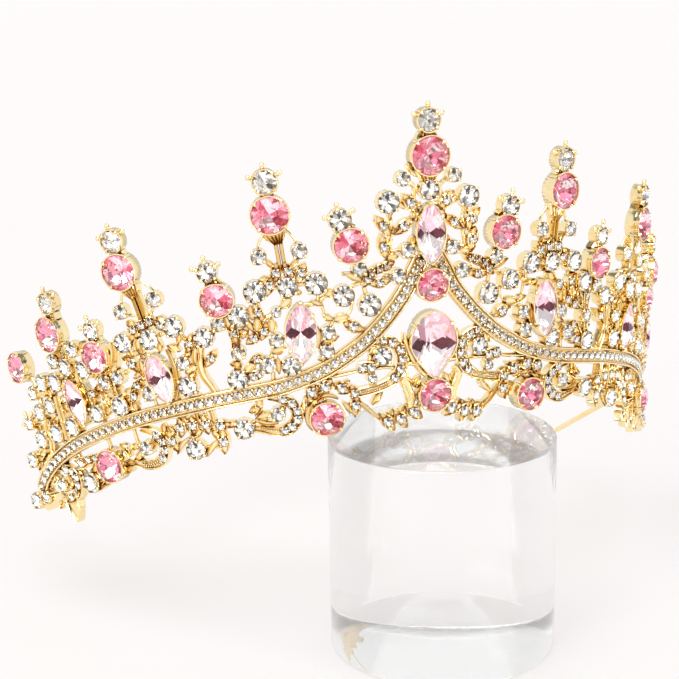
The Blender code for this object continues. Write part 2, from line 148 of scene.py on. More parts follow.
def turning(along):
    """How fast the base arc turns there, in radians for each millimetre."""
    cheek = 0.5 * (1 + tanh((along - CHEEK_START) / ARC_BLEND))
    arm = 0.5 * (1 + tanh((along - ARM_START) / ARC_BLEND))
    return (
        1 / FRONT_RADIUS
        + (1 / CHEEK_RADIUS - 1 / FRONT_RADIUS) * cheek
        + (1 / ARM_RADIUS - 1 / CHEEK_RADIUS) * arm
    )


arc = []
arc_x = arc_y = heading = 0.0
for step in range(int(ARC_LENGTH / ARC_STEP)):
    arc.append((arc_x, arc_y, heading))
    turn = turning((step + 0.5) * ARC_STEP) * ARC_STEP
    arc_x += cos(heading + turn / 2) * ARC_STEP
    arc_y += sin(heading + turn / 2) * ARC_STEP
    heading += turn
tilt = Matrix.Rotation(-LEAN_BACK, 3, "X")


def flare(along):
    return FLARE_MIDDLE + (FLARE_END - FLARE_MIDDLE) * (along / FLARE_REACH) ** 2


def stretch(along, up):
    """How much wider the leaning wall is at this height than its base arc."""
    return 1 + turning(abs(along)) * up * sin(flare(along))


def seated(point):
    """A point of the crown's own frame, in metres where the leaning crown has it on the block."""
    return (tilt @ Vector(point) + SEAT) * MM


def bent(place):
    """A place of the drawing, in metres where the bent wall has it."""
    along, up, out = place
    side = -1 if along < 0 else 1
    row = min(int(abs(along) / ARC_STEP), len(arc) - 2)
    share = abs(along) / ARC_STEP - row
    x, y, heading = (a + (b - a) * share for a, b in zip(arc[row], arc[row + 1]))
    outward = Vector((side * sin(heading), -cos(heading), 0.0))
    lean = flare(along)
    reach = up * sin(lean) + out * cos(lean)
    return seated(Vector((side * x, y, up * cos(lean) - out * sin(lean))) + outward * reach)


def bent_piece(name, shape, looks, slot, crease, both_halves=True):
    """Mirrors a drawn right half if asked, bends the drawing to the wall and makes it a piece."""
    if both_halves:
        everything = shape.verts[:] + shape.edges[:] + shape.faces[:]
        bmesh.ops.mirror(shape, geom=everything, axis="X", merge_dist=-1)
    for vert in shape.verts:
        vert.co = bent(vert.co)
    bmesh.ops.recalc_face_normals(shape, faces=shape.faces)
    return new_piece(name, shape, looks, slot, crease)


def placed(shape, part, along, up, out, turn=0.0, size=(1, 1, 1)):
    """Adds a copy of a part to the drawing, turned clockwise and widened back for the bend."""
    copy = part.copy()
    matrix = Matrix.Translation((along, up, out))
    matrix = matrix @ Matrix.Diagonal((1 / stretch(along, up), 1, 1, 1))
    matrix = matrix @ Matrix.Rotation(-radians(turn), 4, "Z") @ Matrix.Diagonal((*size, 1))
    copy.transform(matrix)
    shape.from_mesh(copy)
    bpy.data.meshes.remove(copy)


def as_part(name, shape):
    """Keeps a small bmesh as a mesh that can be placed many times."""
    mesh = bpy.data.meshes.new(name)
    shape.to_mesh(mesh)
    shape.free()
    return mesh


# Painted shade: an ambient occlusion mask darkens the plate's colour towards a dark brown in its recesses.
NOOK_DEPTH = 0.5 * MM
NOOK_SAMPLES = 4
PAINTED_NOOK_SHADE = (0.36, 0.15, 0.03)
TONE_GRAIN = 220.0
TONE_DETAIL = 4.0
TONE_RANGE = (0.3, 0.62)
GLOSS_RANGE = (0.6, 1.6)
SKIN_GRAIN = 900.0
SKIN_DETAIL = 2.0
SKIN_STRENGTH = 0.12
SKIN_DEPTH = 0.2 * MM


def colour_ramp(nodes, stops):
    """A colour ramp with these stops, each a place on it and a colour."""
    ramp = nodes.new("ShaderNodeValToRGB")
    elements = ramp.color_ramp.elements
    elements.remove(elements[1])
    for i, (position, colour) in enumerate(stops):
        stop = elements.new(position) if i else elements[0]
        stop.position = position
        stop.color = (*colour, 1)
    return ramp


def grain(nodes, links, place, scale, detail):
    """A noise over the object's own coordinates: the scale is how many grains a metre holds."""
    noise = nodes.new("ShaderNodeTexNoise")
    noise.inputs["Scale"].default_value = scale
    noise.inputs["Detail"].default_value = detail
    links.new(place.outputs["Object"], noise.inputs["Vector"])
    return noise


def plated_gold(name, colour, deep, roughness):
    """Polished gold plate over a casting: its tone and gloss drift a little, it is not quite flat, and a
    painted shade darkens its recesses.
    """
    made, nodes, links, shader = new_material(name, Metallic=1.0)
    place = nodes.new("ShaderNodeTexCoord")
    drift = grain(nodes, links, place, TONE_GRAIN, TONE_DETAIL)
    tone = colour_ramp(nodes, zip(TONE_RANGE, (deep, colour)))
    links.new(drift.outputs["Fac"], tone.inputs["Fac"])
    # painted shade: where the ambient occlusion finds a recess, the base colour is mixed towards the dark
    # brown shade tone
    painted_shade_mask = nodes.new("ShaderNodeAmbientOcclusion")
    painted_shade_mask.samples = NOOK_SAMPLES
    painted_shade_mask.inputs["Distance"].default_value = NOOK_DEPTH
    painted_shade = nodes.new("ShaderNodeMix")
    painted_shade.data_type = "RGBA"
    painted_shade.inputs["A"].default_value = (*PAINTED_NOOK_SHADE, 1)
    links.new(painted_shade_mask.outputs["AO"], painted_shade.inputs["Factor"])
    links.new(tone.outputs["Color"], painted_shade.inputs["B"])
    links.new(painted_shade.outputs["Result"], shader.inputs["Base Color"])
    gloss = nodes.new("ShaderNodeMapRange")
    gloss.inputs["To Min"].default_value = roughness * GLOSS_RANGE[0]
    gloss.inputs["To Max"].default_value = roughness * GLOSS_RANGE[1]
    links.new(drift.outputs["Fac"], gloss.inputs["Value"])
    links.new(gloss.outputs["Result"], shader.inputs["Roughness"])
    skin = grain(nodes, links, place, SKIN_GRAIN, SKIN_DETAIL)
    bump = nodes.new("ShaderNodeBump")
    bump.inputs["Strength"].default_value = SKIN_STRENGTH
    bump.inputs["Distance"].default_value = SKIN_DEPTH
    links.new(skin.outputs["Fac"], bump.inputs["Height"])
    links.new(bump.outputs["Normal"], shader.inputs["Normal"])
    return made


gold = plated_gold("polished gold plate", (1.0, 0.85, 0.52), (1.0, 0.77, 0.38), 0.1)
# The plate between the stones is a darker, more orange copy of the polished gold: a painted shade for the
# recess it lies in. It is rougher too.
floor_gold = plated_gold("gold plate between stones", (1.0, 0.78, 0.39), (1.0, 0.68, 0.27), 0.25)

BAND_WIDTH = 3.7
BAND_LINE = (
    # along, up
    (1.6, 37.6),
    (3.2, 34.2),
    (5.0, 30.4),
    (8.0, 26.3),
    (11.0, 23.0),
    (14.5, 19.9),
    (18.5, 17.4),
    (22.6, 15.4),
    (27.0, 14.2),
    (32.0, 13.3),
    (38.0, 13.1),
    (46.0, 13.1),
    (54.0, 13.1),
    (62.0, 13.1),
    (70.0, 12.8),
    (77.0, 12.4),
    (84.0, 11.8),
    (90.0, 10.7),
    (95.0, 9.2),
    (99.0, 7.2),
    (102.0, 4.6),
)
STRIP_FRONT = 0.35
STRIP_PITCH = 0.9
STRIP_CREASE = 35
RAIL_WIDTH = 0.5
RAIL_FRONT = 0.8
CURVE_STEPS = 24


def smooth_line(line, pitch, to_ends=False):
    """Places at an even pitch on a smooth curve through a line, each with the way it runs there."""
    ends = [line[0], *line, line[-1]]
    fine = []
    for i in range(len(line) - 1):
        a, b, c, d = (Vector(place) for place in ends[i : i + 4])
        for step in range(CURVE_STEPS):
            t = step / CURVE_STEPS
            bend = (c - a) * t + (2 * a - 5 * b + 4 * c - d) * t**2 + (3 * b - a - 3 * c + d) * t**3
            fine.append(b + bend / 2)
    fine.append(Vector(line[-1]))
    lengths = [0.0]
    for a, b in zip(fine, fine[1:]):
        lengths.append(lengths[-1] + hypot((b.x - a.x) * stretch(a.x, a.y), b.y - a.y))
    count = max(2, round(lengths[-1] / pitch))
    places, i = [], 0
    for number in range(count + to_ends):
        gone = (number if to_ends else number + 0.5) * lengths[-1] / count
        while i < len(fine) - 2 and lengths[i + 1] < gone:
            i += 1
        a, b = fine[i], fine[i + 1]
        place = a.lerp(b, (gone - lengths[i]) / (lengths[i + 1] - lengths[i]))
        way = Vector(((b.x - a.x) * stretch(a.x, a.y), b.y - a.y)).normalized()
        places.append((place, way))
    return places


def beside(spot, off):
    """A place beside a spot of a line, that far to the left of the way it runs."""
    place, way = spot
    return place.x - way.y * off / stretch(place.x, place.y), place.y + way.x * off


strip_points = smooth_line(BAND_LINE, STRIP_PITCH, to_ends=True)
shape = bmesh.new()
low_edge = [shape.verts.new((*beside(point, -BAND_WIDTH / 2), WALL_BACK)) for point in strip_points]
high_edge = [shape.verts.new((*beside(point, BAND_WIDTH / 2), WALL_BACK)) for point in strip_points]
for i in range(len(strip_points) - 1):
    shape.faces.new((low_edge[i], low_edge[i + 1], high_edge[i + 1], high_edge[i]))
raised = bmesh.ops.extrude_face_region(shape, geom=shape.faces[:], use_keep_orig=True)
raised_verts = [item for item in raised["geom"] if isinstance(item, bmesh.types.BMVert)]
bmesh.ops.translate(shape, verts=raised_verts, vec=(0, 0, STRIP_FRONT - WALL_BACK))
bent_piece("band_strip", shape, [floor_gold], "gold_plate", STRIP_CREASE)

WELD = 0.001 * MM
WIRE_CREASE = 50


def tubes(name, rows, sides, steps):
    """Round gold wires through rows of places, each place along, up, out and the radius there.

    A row is drawn on the half that it names, 1 for the right one and -1 for the left one.
    """
    drawn = bpy.data.curves.new(name, "CURVE")
    drawn.dimensions = "3D"
    drawn.bevel_depth = MM
    drawn.bevel_resolution = sides
    drawn.resolution_u = steps
    drawn.use_fill_caps = True
    for half, places in rows:
        spline = drawn.splines.new("BEZIER")
        spline.bezier_points.add(len(places) - 1)
        for knot, (along, up, out, radius) in zip(spline.bezier_points, places):
            knot.co = bent((half * along, up, out))
            knot.handle_left_type = knot.handle_right_type = "AUTO"
            knot.radius = radius
    rope = bpy.data.objects.new(name, drawn)
    bpy.context.scene.collection.objects.link(rope)
    bpy.context.view_layer.update()
    graph = bpy.context.evaluated_depsgraph_get()
    mesh = bpy.data.meshes.new_from_object(rope.evaluated_get(graph))
    bpy.data.objects.remove(rope)
    shape = bmesh.new()
    shape.from_mesh(mesh)
    bmesh.ops.remove_doubles(shape, verts=shape.verts, dist=WELD)
    bmesh.ops.recalc_face_normals(shape, faces=shape.faces)
    new_piece(name, shape, [gold], "gold_plate", WIRE_CREASE)


rail_rows = []
for edge in (-1, 1):
    rail = []
    for point in strip_points[::2]:
        along, up = beside(point, edge * (BAND_WIDTH - RAIL_WIDTH) / 2)
        rail.append((along, up, RAIL_FRONT, RAIL_WIDTH / 2))
    rail_rows += [(1, rail), (-1, rail)]
tubes("band_rails", rail_rows, sides=2, steps=2)


# The pave row fills the band: small glass stones with a flat table and a pointed, foiled back.
# They sit side by side in the strip, and two beads between each pair, pushed up from it, hold them.

PAVE_WIDTH = 1.9
PAVE_PITCH = 2.22
PAVE_LEVEL = 0.95
PAVE_BEAD = 0.75
PAVE_BEAD_OFF = 0.38 * PAVE_WIDTH
PAVE_BEAD_SINKS = 0.15
FACET_CREASE = 1
BEAD_CREASE = 80
STONE_IOR = 1.46
# These values paint flash and shade on the foil: the darkest end is a painted shade, the flash turns and
# scatter spread painted flashes and shades over the facets, and ABOVE_BOW sets the tone above a long stone's
# painted dark bow.
DARKEST = 0.04
FLASH_TURNS = (37.3, 91.7, 17.1)
FLASH_SCATTER = 437.58
BACK_MIDDLE = 0.5
FACING_FRONT = 0.02
ABOVE_BOW = 0.25


def facet_foil(name, light, dark, spread, rough=0.06, metal=1.0, between=None, glow=0.0):
    """The mirror foil behind a stone, with a painted tone on each facet of its cut: a painted flash on some,
    a painted shade on others.

    The glow is emission in each facet's painted tone, a painted glow from a foil that is no lamp.
    """
    made, nodes, links, shader = new_material(name, Metallic=metal, Roughness=rough, Emission_Strength=glow)
    facet = nodes.new("ShaderNodeAttribute")
    facet.attribute_name = "facet"
    stops = [(DARKEST, dark), (spread, light)]
    if between:
        stops.insert(1, (spread / 2, between))
    tone = colour_ramp(nodes, stops)
    links.new(facet.outputs["Fac"], tone.inputs["Fac"])
    links.new(tone.outputs["Color"], shader.inputs["Base Color"])
    # the facet's painted tone also lights the emission, a painted glow
    links.new(tone.outputs["Color"], shader.inputs["Emission Color"])
    return made


def stone_glass(name, colour):
    """The clear or tinted glass of a stone's front."""
    return new_material(
        name, Base_Color=(*colour, 1), Roughness=0.0, IOR=STONE_IOR, Transmission_Weight=1.0
    )[0]


clear_glass = stone_glass("clear stone glass", (1.0, 1.0, 1.0))
# The light tones of these foils are painted flashes and their dark tones painted shade; the silver foil's
# glow is a painted glow.
clear_foil = facet_foil("silver foil", (1.0, 0.985, 0.96), (0.012, 0.008, 0.005), 0.6, metal=0.8, glow=0.18)
pave_foil = facet_foil("bright silver foil", (0.99, 0.985, 0.97), (0.10, 0.08, 0.07), 0.3, rough=0.15)


def cut_stone(outline, corners, table, crown, depth, girdle, bow=0.0):
    """A cut stone about its own middle, one unit across. Its front is glass and its back is foil.

    It is the hull of its table, its crown's corners, its girdle, its back's corners and its culet.
    Each facet gets a value that picks its painted flash or painted shade on the foil. A long stone gets a
    painted dark bow across its waist, on the back facets that lie that near its middle, takes its colour
    above the bow and gets a painted highlight below it.
    """
    shape = bmesh.new()
    half = pi / corners
    middle = (1 + table) / 2
    crown_corner = crown * (1 - (middle * cos(half) - table) / (1 - table))
    back_corner = -girdle - depth * (1 - BACK_MIDDLE * cos(half))
    rings = (
        # how many corners, the angle of the first, their reach and their level
        (corners, 0.0, table, crown),
        (corners, half, middle, crown_corner),
        (2 * corners, 0.0, 1.0, 0.0),
        (2 * corners, 0.0, 1.0, -girdle),
        (corners, half, BACK_MIDDLE, back_corner),
    )
    for count, start, scale, level in rings:
        for i in range(count):
            x, y = outline(start + 2 * pi * i / count)
            shape.verts.new((x * scale, y * scale, level))
    shape.verts.new((0, 0, -girdle - depth))
    bmesh.ops.convex_hull(shape, input=shape.verts)
    painted_tone = shape.faces.layers.float.new("facet")
    for face in shape.faces:
        face.material_index = 0 if face.normal.z > FACING_FRONT else 1
        # painted flash or painted shade, scattered over the facets by the way each faces
        turned = sum(part * turn for part, turn in zip(face.normal, FLASH_TURNS))
        face[painted_tone] = sin(turned) * FLASH_SCATTER % 1
        # painted shade across a long stone's waist, its colour above it and a painted highlight below it
        if bow:
            height = face.calc_center_median().y
            if abs(height) < bow:
                face[painted_tone] = 0.0
            elif height > 0:
                face[painted_tone] = ABOVE_BOW * (1 + face[painted_tone])
            else:
                face[painted_tone] = 1.0
    return as_part("cut stone", shape)


def round_outline(angle):
    return 0.5 * sin(angle), 0.5 * cos(angle)


def ball(name, subdivisions):
    shape = bmesh.new()
    bmesh.ops.create_icosphere(shape, subdivisions=subdivisions, radius=0.5)
    return as_part(name, shape)


small_cut = cut_stone(round_outline, corners=6, table=0.58, crown=0.16, depth=0.36, girdle=0.02)
fine_bead = ball("fine bead", 1)

stones = bmesh.new()
beads = bmesh.new()
for place, way in smooth_line(BAND_LINE, PAVE_PITCH):
    placed(stones, small_cut, place.x, place.y, PAVE_LEVEL, size=(PAVE_WIDTH,) * 3)
for point in smooth_line(BAND_LINE, PAVE_PITCH, to_ends=True):
    for off in (-PAVE_BEAD_OFF, PAVE_BEAD_OFF):
        placed(beads, fine_bead, *beside(point, off), PAVE_LEVEL - PAVE_BEAD_SINKS, size=(PAVE_BEAD,) * 3)
bent_piece("pave_stones", stones, [clear_glass, pave_foil], "clear_stone_glass", FACET_CREASE)
bent_piece("pave_beads", beads, [gold], "gold_plate", BEAD_CREASE)


# Clear stones of three to four millimetres stand on the stems, and smaller ones on the leaves,
# the scrolls and the crescents. Each has a ring cast with its stem, and four beads raised from the
# ring grip it. A large one's ring is fluted outside.

CLEARS = (
    # along, up, width
    # beside the middle spire
    (4.7, 54.9, 2.8),
    (7.5, 50.2, 4.4),
    (4.4, 39.3, 2.9),
    (6.4, 34.0, 3.0),
    # first spire
    (16.2, 47.6, 4.4),
    (13.6, 36.5, 2.8),
    (17.0, 31.2, 4.2),
    (12.2, 28.4, 4.4),
    # second spire
    (24.0, 42.2, 3.0),
    (31.3, 42.3, 3.0),
    (27.1, 34.9, 4.0),
    (21.8, 34.7, 4.4),
    (33.2, 35.0, 4.4),
    (20.8, 23.7, 2.8),
    (21.5, 19.7, 2.9),
    (30.9, 23.7, 2.8),
    (28.9, 17.6, 3.8),
    (33.4, 18.7, 3.2),
    # third spire
    (40.8, 41.1, 4.0),
    (37.0, 30.3, 4.2),
    (41.0, 29.5, 2.8),
    (38.5, 22.5, 2.8),
    (39.8, 16.7, 4.0),
    (44.3, 27.3, 4.0),
    # fourth spire
    (51.5, 37.8, 3.2),
    (58.7, 37.0, 3.0),
    (54.9, 29.6, 4.2),
    (49.4, 31.0, 4.2),
    (60.5, 30.3, 4.0),
    (49.6, 22.7, 2.8),
    (50.0, 17.5, 4.0),
    (58.5, 18.0, 3.0),
    # fifth spire
    (66.8, 35.0, 3.8),
    (64.5, 23.3, 2.9),
    (68.0, 23.0, 3.2),
    (66.3, 17.0, 4.0),
    # sixth spire
    (73.7, 32.4, 3.2),
    (81.3, 31.5, 3.2),
    (77.8, 29.2, 4.0),
    (72.5, 27.2, 3.8),
    (83.3, 26.9, 4.2),
    (73.2, 17.0, 3.8),
    (82.5, 16.0, 4.2),
    # the end above the band
    (88.6, 28.0, 3.8),
    (93.4, 26.6, 3.0),
    (88.0, 22.3, 3.4),
    (93.0, 21.8, 3.6),
    (89.0, 15.8, 4.2),
    (95.4, 15.8, 4.0),
    (98.6, 20.4, 3.0),
    (101.4, 12.0, 3.4),
    # below the band
    (10.5, 16.8, 3.6),
    (33.3, 7.6, 2.8),
    (40.9, 5.7, 4.0),
    (52.3, 3.4, 4.0),
    (63.6, 6.4, 2.9),
    (82.7, 2.5, 4.4),
    (92.7, 4.0, 2.9),
    (99.8, 2.5, 2.6),
    (104.0, 2.6, 3.6),
)
MIDDLE_CLEAR = (0.0, 52.1, 4.0)
SMALL_CLEARS = (
    # along, up, width, then the turn and the length of the stone's leaf, or 0 where it has none
    # leaves beside the middle marquise, and its foot
    (3.4, 49.6, 1.9, 38, 4.2),
    (4.8, 44.7, 1.8, 128, 4.4),
    (8.6, 45.2, 1.7, 32, 4.6),
    (8.7, 40.7, 1.8, 8, 4.6),
    (1.7, 36.5, 1.1, 0, 0),
    (2.3, 35.3, 1.1, 0, 0),
    (8.4, 36.5, 1.4, 118, 3.2),
    (9.8, 36.1, 1.4, 100, 3.0),
    (11.3, 35.4, 1.4, 115, 3.4),
    (9.9, 33.0, 1.6, 95, 3.8),
    (12.2, 34.0, 1.4, 140, 3.2),
    (15.8, 24.2, 2.0, 60, 4.0),
    # second spire
    (24.2, 37.5, 1.7, 150, 3.8),
    (26.5, 38.3, 1.7, 20, 3.4),
    (28.8, 38.3, 1.7, 168, 3.4),
    (30.3, 35.8, 1.7, 155, 4.0),
    (30.0, 29.8, 2.0, 0, 0),
    (35.3, 20.4, 1.4, 100, 3.0),
    (35.4, 17.1, 1.6, 0, 0),
    (36.7, 16.8, 1.6, 0, 0),
    # third spire
    (33.3, 30.4, 1.5, 18, 3.6),
    (32.9, 26.1, 1.6, 150, 3.4),
    (35.1, 25.0, 1.6, 115, 3.4),
    (38.6, 26.9, 1.5, 0, 3.8),
    (47.4, 26.7, 1.4, 155, 3.6),
    (44.0, 22.5, 1.6, 135, 3.8),
    # fourth spire
    (51.8, 32.0, 1.6, 50, 3.6),
    (53.8, 33.4, 1.6, 75, 3.0),
    (55.6, 33.0, 1.6, 110, 3.0),
    (57.6, 32.5, 1.6, 15, 3.8),
    (57.0, 25.0, 1.5, 20, 3.4),
    (60.3, 25.2, 1.6, 30, 3.8),
    (60.8, 20.3, 1.6, 110, 3.2),
    (62.4, 18.3, 1.7, 135, 3.8),
    # fifth and sixth spires
    (72.6, 21.5, 1.5, 75, 3.4),
    (82.0, 22.6, 1.6, 110, 3.6),
    # the scroll beside the pear
    (10.1, 20.3, 1.3, 0, 0),
    (8.3, 19.5, 1.7, 0, 0),
    (6.7, 17.8, 1.7, 0, 0),
    (6.4, 15.6, 1.7, 0, 0),
    (6.9, 13.3, 1.7, 0, 0),
    (8.2, 11.6, 1.7, 0, 0),
    (13.0, 14.6, 1.8, 0, 0),
    (14.8, 14.9, 1.8, 0, 0),
    (13.0, 12.2, 1.9, 0, 0),
    # round the lower pink stone, and the leaves under the arch
    (16.9, 9.4, 1.8, 15, 3.4),
    (17.0, 6.6, 1.8, 168, 4.2),
    (19.5, 11.0, 2.0, 45, 3.2),
    (22.8, 11.8, 2.0, 130, 3.6),
    (25.8, 11.2, 2.0, 160, 4.0),
    (4.4, 3.3, 2.2, 48, 4.0),
    (7.5, 2.2, 2.0, 32, 4.2),
    (10.4, 1.9, 2.0, 34, 4.2),
    # first crescent
    (31.9, 10.7, 1.7, 0, 0),
    (30.2, 9.4, 1.7, 0, 0),
    (29.3, 7.6, 1.7, 0, 0),
    (29.5, 5.6, 1.8, 0, 0),
    (31.0, 4.3, 1.8, 0, 0),
    (32.7, 3.7, 1.6, 0, 0),
    # leaves between the crescents
    (45.8, 7.4, 1.9, 90, 3.8),
    (48.8, 8.4, 1.8, 5, 3.8),
    (51.6, 8.8, 1.8, 175, 3.6),
    (54.4, 8.9, 1.8, 170, 3.6),
    (46.0, 3.8, 2.0, 172, 4.6),
    # second crescent
    (57.2, 6.5, 1.8, 12, 4.4),
    (60.4, 8.7, 1.7, 0, 0),
    (59.4, 6.9, 1.5, 0, 0),
    (59.6, 4.9, 1.7, 0, 0),
    (60.6, 3.2, 1.7, 0, 0),
    (78.8, 7.2, 1.9, 0, 0),
    (81.4, 7.7, 1.6, 0, 0),
    (84.2, 7.5, 2.0, 0, 0),
    # end crescent
    (90.2, 7.2, 1.7, 0, 0),
    (88.5, 6.4, 1.5, 0, 0),
    (87.4, 4.7, 1.7, 0, 0),
    (87.7, 2.8, 1.7, 0, 0),
    (89.2, 1.1, 1.7, 0, 0),
    (91.2, 0.6, 1.6, 0, 0),
)
STONE_GROWS = 1.05
BIG_CUT_FROM = 3.4
LARGE_RING = {"level": 1.45, "wall": 0.22, "sides": 24, "fluted": True}
SMALL_RING = {"level": 1.15, "wall": 0.15, "sides": 12, "fluted": False}
RING_CREASE = 60
BEAD_RISES = 0.1
FLUTE_DEPTH = 0.11
FLUTE_BELOW = 0.3
SPUN_WELD = 1e-5


def spun(profile, sides, fluted=False):
    """A closed section of (radius, out) points, spun about the out axis, and fluted outside if asked."""
    shape = bmesh.new()
    verts = [shape.verts.new((radius, 0, out)) for radius, out in profile]
    edges = [shape.edges.new((a, b)) for a, b in zip(verts, verts[1:] + verts[:1])]
    bmesh.ops.spin(
        shape,
        geom=verts + edges,
        cent=(0, 0, 0),
        axis=(0, 0, 1),
        angle=2 * pi,
        steps=sides,
        use_merge=True,
    )
    bmesh.ops.remove_doubles(shape, verts=shape.verts, dist=SPUN_WELD)
    bmesh.ops.recalc_face_normals(shape, faces=shape.faces)
    if fluted:
        lip = max(out for radius, out in profile) - FLUTE_BELOW
        inside = min(radius for radius, out in profile) + FLUTE_DEPTH
        for vert in shape.verts:
            radius = hypot(vert.co.x, vert.co.y)
            step = round(atan2(vert.co.y, vert.co.x) * sides / (2 * pi))
            if step % 2 and radius > inside and vert.co.z < lip:
                vert.co.xy *= 1 - FLUTE_DEPTH / radius
    return shape


def ring_section(radius, level, wall):
    """The section of a clear stone's ring: a plain wall with a thin lip round the stone."""
    return (
        # radius, out
        (radius - 0.25, WALL_BACK),
        (radius + wall, WALL_BACK),
        (radius + wall + 0.08, WALL_BACK + 0.3),
        (radius + wall, level - 0.45),
        (radius + wall - 0.04, level - 0.1),
        (radius + wall / 2, level + 0.06),
        (radius - 0.02, level - 0.08),
        (radius - 0.1, level - 0.5),
    )


PLATE_BACK = -1.1
RIMMED = (
    # across as a share of the width, out in millimetres: a hollow face between two raised rims
    (-0.5, PLATE_BACK),
    (0.5, PLATE_BACK),
    (0.5, 0.9),
    (0.42, 1.08),
    (0.33, 0.9),
    (0.26, 0.4),
    (-0.26, 0.4),
    (-0.33, 0.9),
    (-0.42, 1.08),
    (-0.5, 0.9),
)
THINNEST = 0.05
LEAF_STEPS = 6
LEAF_ROUND = 0.8
LEAF_TIP = 0.15
LEAF_CREASE = 40
STONE_LEAF_WIDENS = 1.15
STONE_LEAF_RIM = 0.4
STONE_LEAF_GROWS = 1.25
STONE_LEAF_PITCH = 0.45


def plate(shape, line, section, pitch):
    """Draws a cast plate along a line of (along, up, width): each place widens the section."""
    spots = smooth_line(line, pitch, to_ends=True)
    frames = []
    for place, way in spots:
        wide = Matrix.Diagonal((1 / stretch(place.x, place.y), 1, 1, 1))
        turned = Matrix(((way.x, -way.y, 0, 0), (way.y, way.x, 0, 0), (0, 0, 1, 0), (0, 0, 0, 1)))
        scaled = Matrix.Diagonal((1, max(place.z, THINNEST), 1, 1))
        frames.append(Matrix.Translation((place.x, place.y, 0)) @ wide @ turned @ scaled)
    verts = [shape.verts.new(frames[0] @ Vector((0, across, out))) for across, out in section]
    first = [shape.edges.new(pair) for pair in zip(verts, verts[1:] + verts[:1])]
    loop = first
    for frame_now, frame_next in zip(frames, frames[1:]):
        grown = bmesh.ops.extrude_edge_only(shape, edges=loop)["geom"]
        verts = [item for item in grown if isinstance(item, bmesh.types.BMVert)]
        edges = [item for item in grown if isinstance(item, bmesh.types.BMEdge)]
        loop = [edge for edge in edges if set(edge.verts) <= set(verts)]
        bmesh.ops.transform(shape, matrix=frame_next @ frame_now.inverted(), verts=verts)
    bmesh.ops.contextual_create(shape, geom=first)
    bmesh.ops.contextual_create(shape, geom=loop)


def leaf_line(length, width):
    """A pointed oval, upright about the origin: its places and widths from tip to tip."""
    shares = [step / LEAF_STEPS for step in range(LEAF_STEPS + 1)]
    return [
        (0.0, (share - 0.5) * length, width * sin(pi * share) ** LEAF_ROUND + LEAF_TIP) for share in shares
    ]


def leaf(shape, along, up, length, width, turn, pitch, thickness):
    """Adds a pointed leaf with raised rims to the drawing, turned clockwise about its middle."""
    one_leaf = bmesh.new()
    plate(one_leaf, leaf_line(length, width), RIMMED, pitch)
    placed(shape, as_part("leaf", one_leaf), along, up, 0, turn, (1, 1, thickness))


big_cut = cut_stone(round_outline, corners=8, table=0.54, crown=0.17, depth=0.36, girdle=0.02)
bead = ball("bead", 2)
LARGE_BEAD = (bead, 0.8)
SMALL_BEAD = (fine_bead, 0.42)


def ringed_stone(shapes, place, kind, grip):
    """Adds a clear stone, its ring and the four beads that grip it, each to its own bmesh."""
    stones, rings, beads = shapes
    along, up, width = place
    grip_bead, size = grip
    width *= STONE_GROWS
    level, wall = kind["level"], kind["wall"]
    ring = as_part("ring", spun(ring_section(width / 2, level, wall), kind["sides"], kind["fluted"]))
    placed(rings, ring, along, up, 0)
    bpy.data.meshes.remove(ring)
    placed(stones, big_cut if width > BIG_CUT_FROM else small_cut, along, up, level, size=(width,) * 3)
    reach = width / 2 + wall / 3
    for degrees in (45, 135, 225, 315):
        across = reach * cos(radians(degrees)) / stretch(along, up)
        high = reach * sin(radians(degrees))
        placed(beads, grip_bead, along + across, up + high, level + BEAD_RISES, size=(size,) * 3)


side_shapes = stones, rings, beads = bmesh.new(), bmesh.new(), bmesh.new()
leaves = bmesh.new()
for place in CLEARS:
    ringed_stone(side_shapes, place, LARGE_RING, LARGE_BEAD)
for along, up, width, turn, length in SMALL_CLEARS:
    ringed_stone(side_shapes, (along, up, width), SMALL_RING, SMALL_BEAD)
    if length:
        long, wide = length * STONE_LEAF_GROWS, width * STONE_LEAF_WIDENS + STONE_LEAF_RIM
        leaf(leaves, along, up, long, wide, turn, STONE_LEAF_PITCH, 1)
bent_piece("clear_stones", stones, [clear_glass, clear_foil], "clear_stone_glass", FACET_CREASE)
bent_piece("stone_rings", rings, [gold], "gold_plate", RING_CREASE)
bent_piece("stone_leaves", leaves, [gold], "gold_plate", LEAF_CREASE)
bent_piece("stone_beads", beads, [gold], "gold_plate", BEAD_CREASE)
middle_shapes = stones, rings, beads = bmesh.new(), bmesh.new(), bmesh.new()
ringed_stone(middle_shapes, MIDDLE_CLEAR, LARGE_RING, LARGE_BEAD)
bent_piece(
    "middle_clear", stones, [clear_glass, clear_foil], "clear_stone_glass", FACET_CREASE, both_halves=False
)
bent_piece("middle_clear_ring", rings, [gold], "gold_plate", RING_CREASE, both_halves=False)
bent_piece("middle_clear_beads", beads, [gold], "gold_plate", BEAD_CREASE, both_halves=False)


# The main stones are cut glass too: pink rounds, pale pink marquises, one pear and the clear tips.
# Each stands in a deep cast cup, open behind, and four claws from the cup's wall grip its edge.

